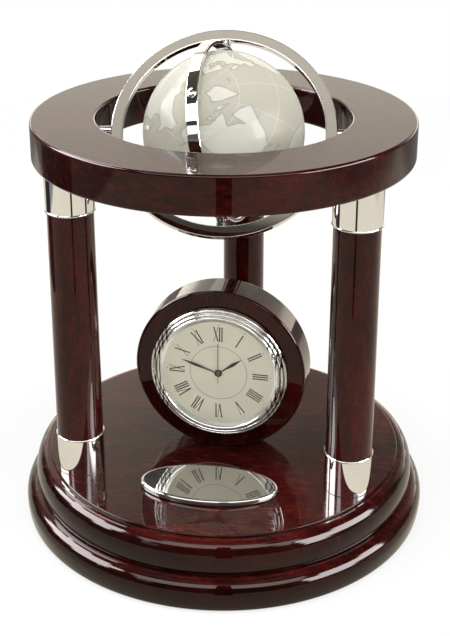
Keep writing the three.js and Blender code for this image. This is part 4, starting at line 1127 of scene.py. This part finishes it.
def direction(azimuth, elevation=0):
    """The way from the object's middle, in degrees: 0 is the front, 90 the right."""
    a, e = math.radians(azimuth), math.radians(elevation)
    return Vector((math.sin(a) * math.cos(e), -math.cos(a) * math.cos(e), math.sin(e)))


def hide_from(obj, *rays):
    for ray in rays:
        setattr(obj, f"visible_{ray}", False)


def mirrored_paper(tree):
    """Cream up to the paper's edges, dark beyond them."""
    parts = parts_of(tree, geometry(tree, "Position"))
    share = 1.0
    for axis, low, high in PAPER_EDGES:
        inside = between(tree, parts[axis], low, high, interpolation="SMOOTHSTEP")
        share = math_node(tree, "MULTIPLY", share, inside)
    return mix_colours(tree, share, MIRRORED_DARK, MIRRORED_FLOOR)


def make_floor():
    """White paper to the eye, with the object's shadow; mirrors see it in cream."""
    material, tree = bare_material("studio_floor")
    path = node(tree, "ShaderNodeLightPath")
    paper = node(tree, "ShaderNodeBsdfDiffuse", Color=FLOOR_COLOUR).outputs[0]
    glow = between(tree, length_of(tree, geometry(tree, "Position")), *FLOOR_FADE, FLOOR_GLOW, 1.0)
    seen = mix_shaders(tree, glow, paper, emission(tree, WHITE))
    mirrored = mix_shaders(tree, MIRRORED_GLOW, paper, emission(tree, mirrored_paper(tree)))
    out = mix_shaders(tree, path.outputs["Is Camera Ray"], paper, seen)
    out = mix_shaders(tree, either_ray(tree, path, "Is Glossy Ray", "Is Transmission Ray"), out, mirrored)
    finish_surface(tree, out)
    stage_sheet("studio_floor", level_square(FLOOR_HALF), material)


def make_stands():
    """Dark upright sheets, seen in metal and lacquer alone, for the dark lines in the chrome."""
    material, tree = bare_material("dark_stand")
    finish_surface(tree, emission(tree, STAND_COLOUR))
    for name, azimuth, distance, width, height in STANDS:
        foot = direction(azimuth) * distance
        side = direction(azimuth + 90) * (width / 2)
        top = UP * height
        sheet = stage_sheet(name, [foot - side, foot + side, foot + side + top, foot - side + top], material)
        hide_from(sheet, "camera", "diffuse", "shadow", "transmission")


def wall_ramp(tree, height, stops):
    return ramp(tree, height, [(place, (value / WALL_PEAK,) * 3) for place, value in stops])


def background(tree, colour, strength):
    return node(tree, "ShaderNodeBackground", Color=colour, Strength=strength).outputs[0]


def make_world():
    """White to the eye; metal and glass see a lit wall behind and a dark room in front."""
    world = bpy.data.worlds.new("studio")
    world.use_nodes = True
    bpy.context.scene.world = world
    tree = world.node_tree
    tree.nodes.clear()
    path = node(tree, "ShaderNodeLightPath")
    parts = parts_of(tree, node(tree, "ShaderNodeTexCoord").outputs["Generated"])
    height = parts["Z"]
    to_back = between(tree, parts["Y"], *BACK_START, interpolation="SMOOTHSTEP")
    to_left = between(tree, parts["X"], *BACK_LEFT_START)
    to_right = between(tree, parts["X"], *BACK_RIGHT_START)
    to_side = between(tree, math_node(tree, "ABSOLUTE", parts["X"]), *SIDE_WALL_START)
    walls = wall_ramp(tree, height, BACK_WALL)
    for share, stops in ((to_left, BACK_LEFT_WALL), (to_right, BACK_RIGHT_WALL), (to_side, SIDE_WALL)):
        walls = mix_colours(tree, share, walls, wall_ramp(tree, height, stops))
    walls = mix_colours(tree, to_back, wall_ramp(tree, height, FRONT_ROOM), walls)
    walls = mix_colours(tree, 1.0, walls, WALL_TINT, "MULTIPLY")
    out = mix_shaders(tree, either_ray(tree, path, "Is Glossy Ray", "Is Transmission Ray"),
                      background(tree, WHITE, SKY_LIGHT), background(tree, walls, WALL_PEAK))
    out = mix_shaders(tree, path.outputs["Is Camera Ray"], out, background(tree, WHITE, 1.0))
    finish_surface(tree, out, "ShaderNodeOutputWorld")


def glowing_sheet(name, radiance):
    """A softbox's front as mirrors see it, dimmer towards its edges."""
    material, tree = bare_material(name)
    parts = parts_of(tree, object_place(tree))
    strength = radiance
    for axis in ("X", "Y"):
        off = math_node(tree, "ABSOLUTE", parts[axis])
        share = between(tree, off, 0.5, 0.5 - SOFT_EDGE, interpolation="SMOOTHSTEP")
        strength = math_node(tree, "MULTIPLY", strength, share)
    finish_surface(tree, emission(tree, WHITE, strength))
    return material


def make_softboxes():
    """Area lamps for the object's colours, each with a glowing sheet for its highlights."""
    for name, azimuth, elevation, distance, width, height, level, gleam in SOFTBOXES:
        away = direction(azimuth, elevation)
        made = []
        if level:
            lamp = bpy.data.lights.new(name, "AREA")
            lamp.shape = "RECTANGLE"
            lamp.size, lamp.size_y = width, height
            lamp.energy = level * math.pi * width * height
            source = new_object(name, lamp)
            hide_from(source, "camera", "glossy", "transmission")
            made.append(source)
        if gleam:
            sheet = stage_sheet(f"{name}_sheet", level_square(0.5), glowing_sheet(f"{name}_glow", gleam))
            sheet.scale = (width, height, 1)
            hide_from(sheet, "camera", "diffuse", "shadow", "transmission")
            made.append(sheet)
        for obj in made:
            obj.location = STUDIO_MIDDLE + away * distance
            obj.rotation_mode = "QUATERNION"
            obj.rotation_quaternion = away.to_track_quat("Z", "Y")


# Camera, from the photograph's perspective
CAMERA_PLACE = Vector((0.0865, -0.5910, 0.3878))
CAMERA_AZIMUTH = 8.33
CAMERA_DOWN = 21.10
CAMERA_LENS = 71.27
CAMERA_SENSOR = 36
CAMERA_SHIFT = (0.0019, -0.1481)
CAMERA_CLIP = (0.01, 50)


def make_camera():
    data = bpy.data.cameras.new("camera")
    data.lens = CAMERA_LENS
    data.sensor_width = CAMERA_SENSOR
    data.sensor_fit = "AUTO"
    data.shift_x, data.shift_y = CAMERA_SHIFT
    data.clip_start, data.clip_end = CAMERA_CLIP
    camera = new_object("camera", data)
    camera.location = CAMERA_PLACE
    camera.rotation_euler = (math.radians(90 - CAMERA_DOWN), 0, math.radians(CAMERA_AZIMUTH))
    bpy.context.scene.camera = camera


bpy.context.scene.view_settings.view_transform = "Standard"
make_camera()
make_world()
make_softboxes()
make_floor()
make_stands()
make_plinth()
make_deck()
for side in ("left", "right", "rear"):
    make_shaft(side)
    make_ferrule(side, "lower")
    make_ferrule(side, "upper")
make_top_ring()
make_gimbal()
make_globe()
make_case()
make_bezel()
make_lens()
make_dial()
make_print()
make_hands()
make_plate()
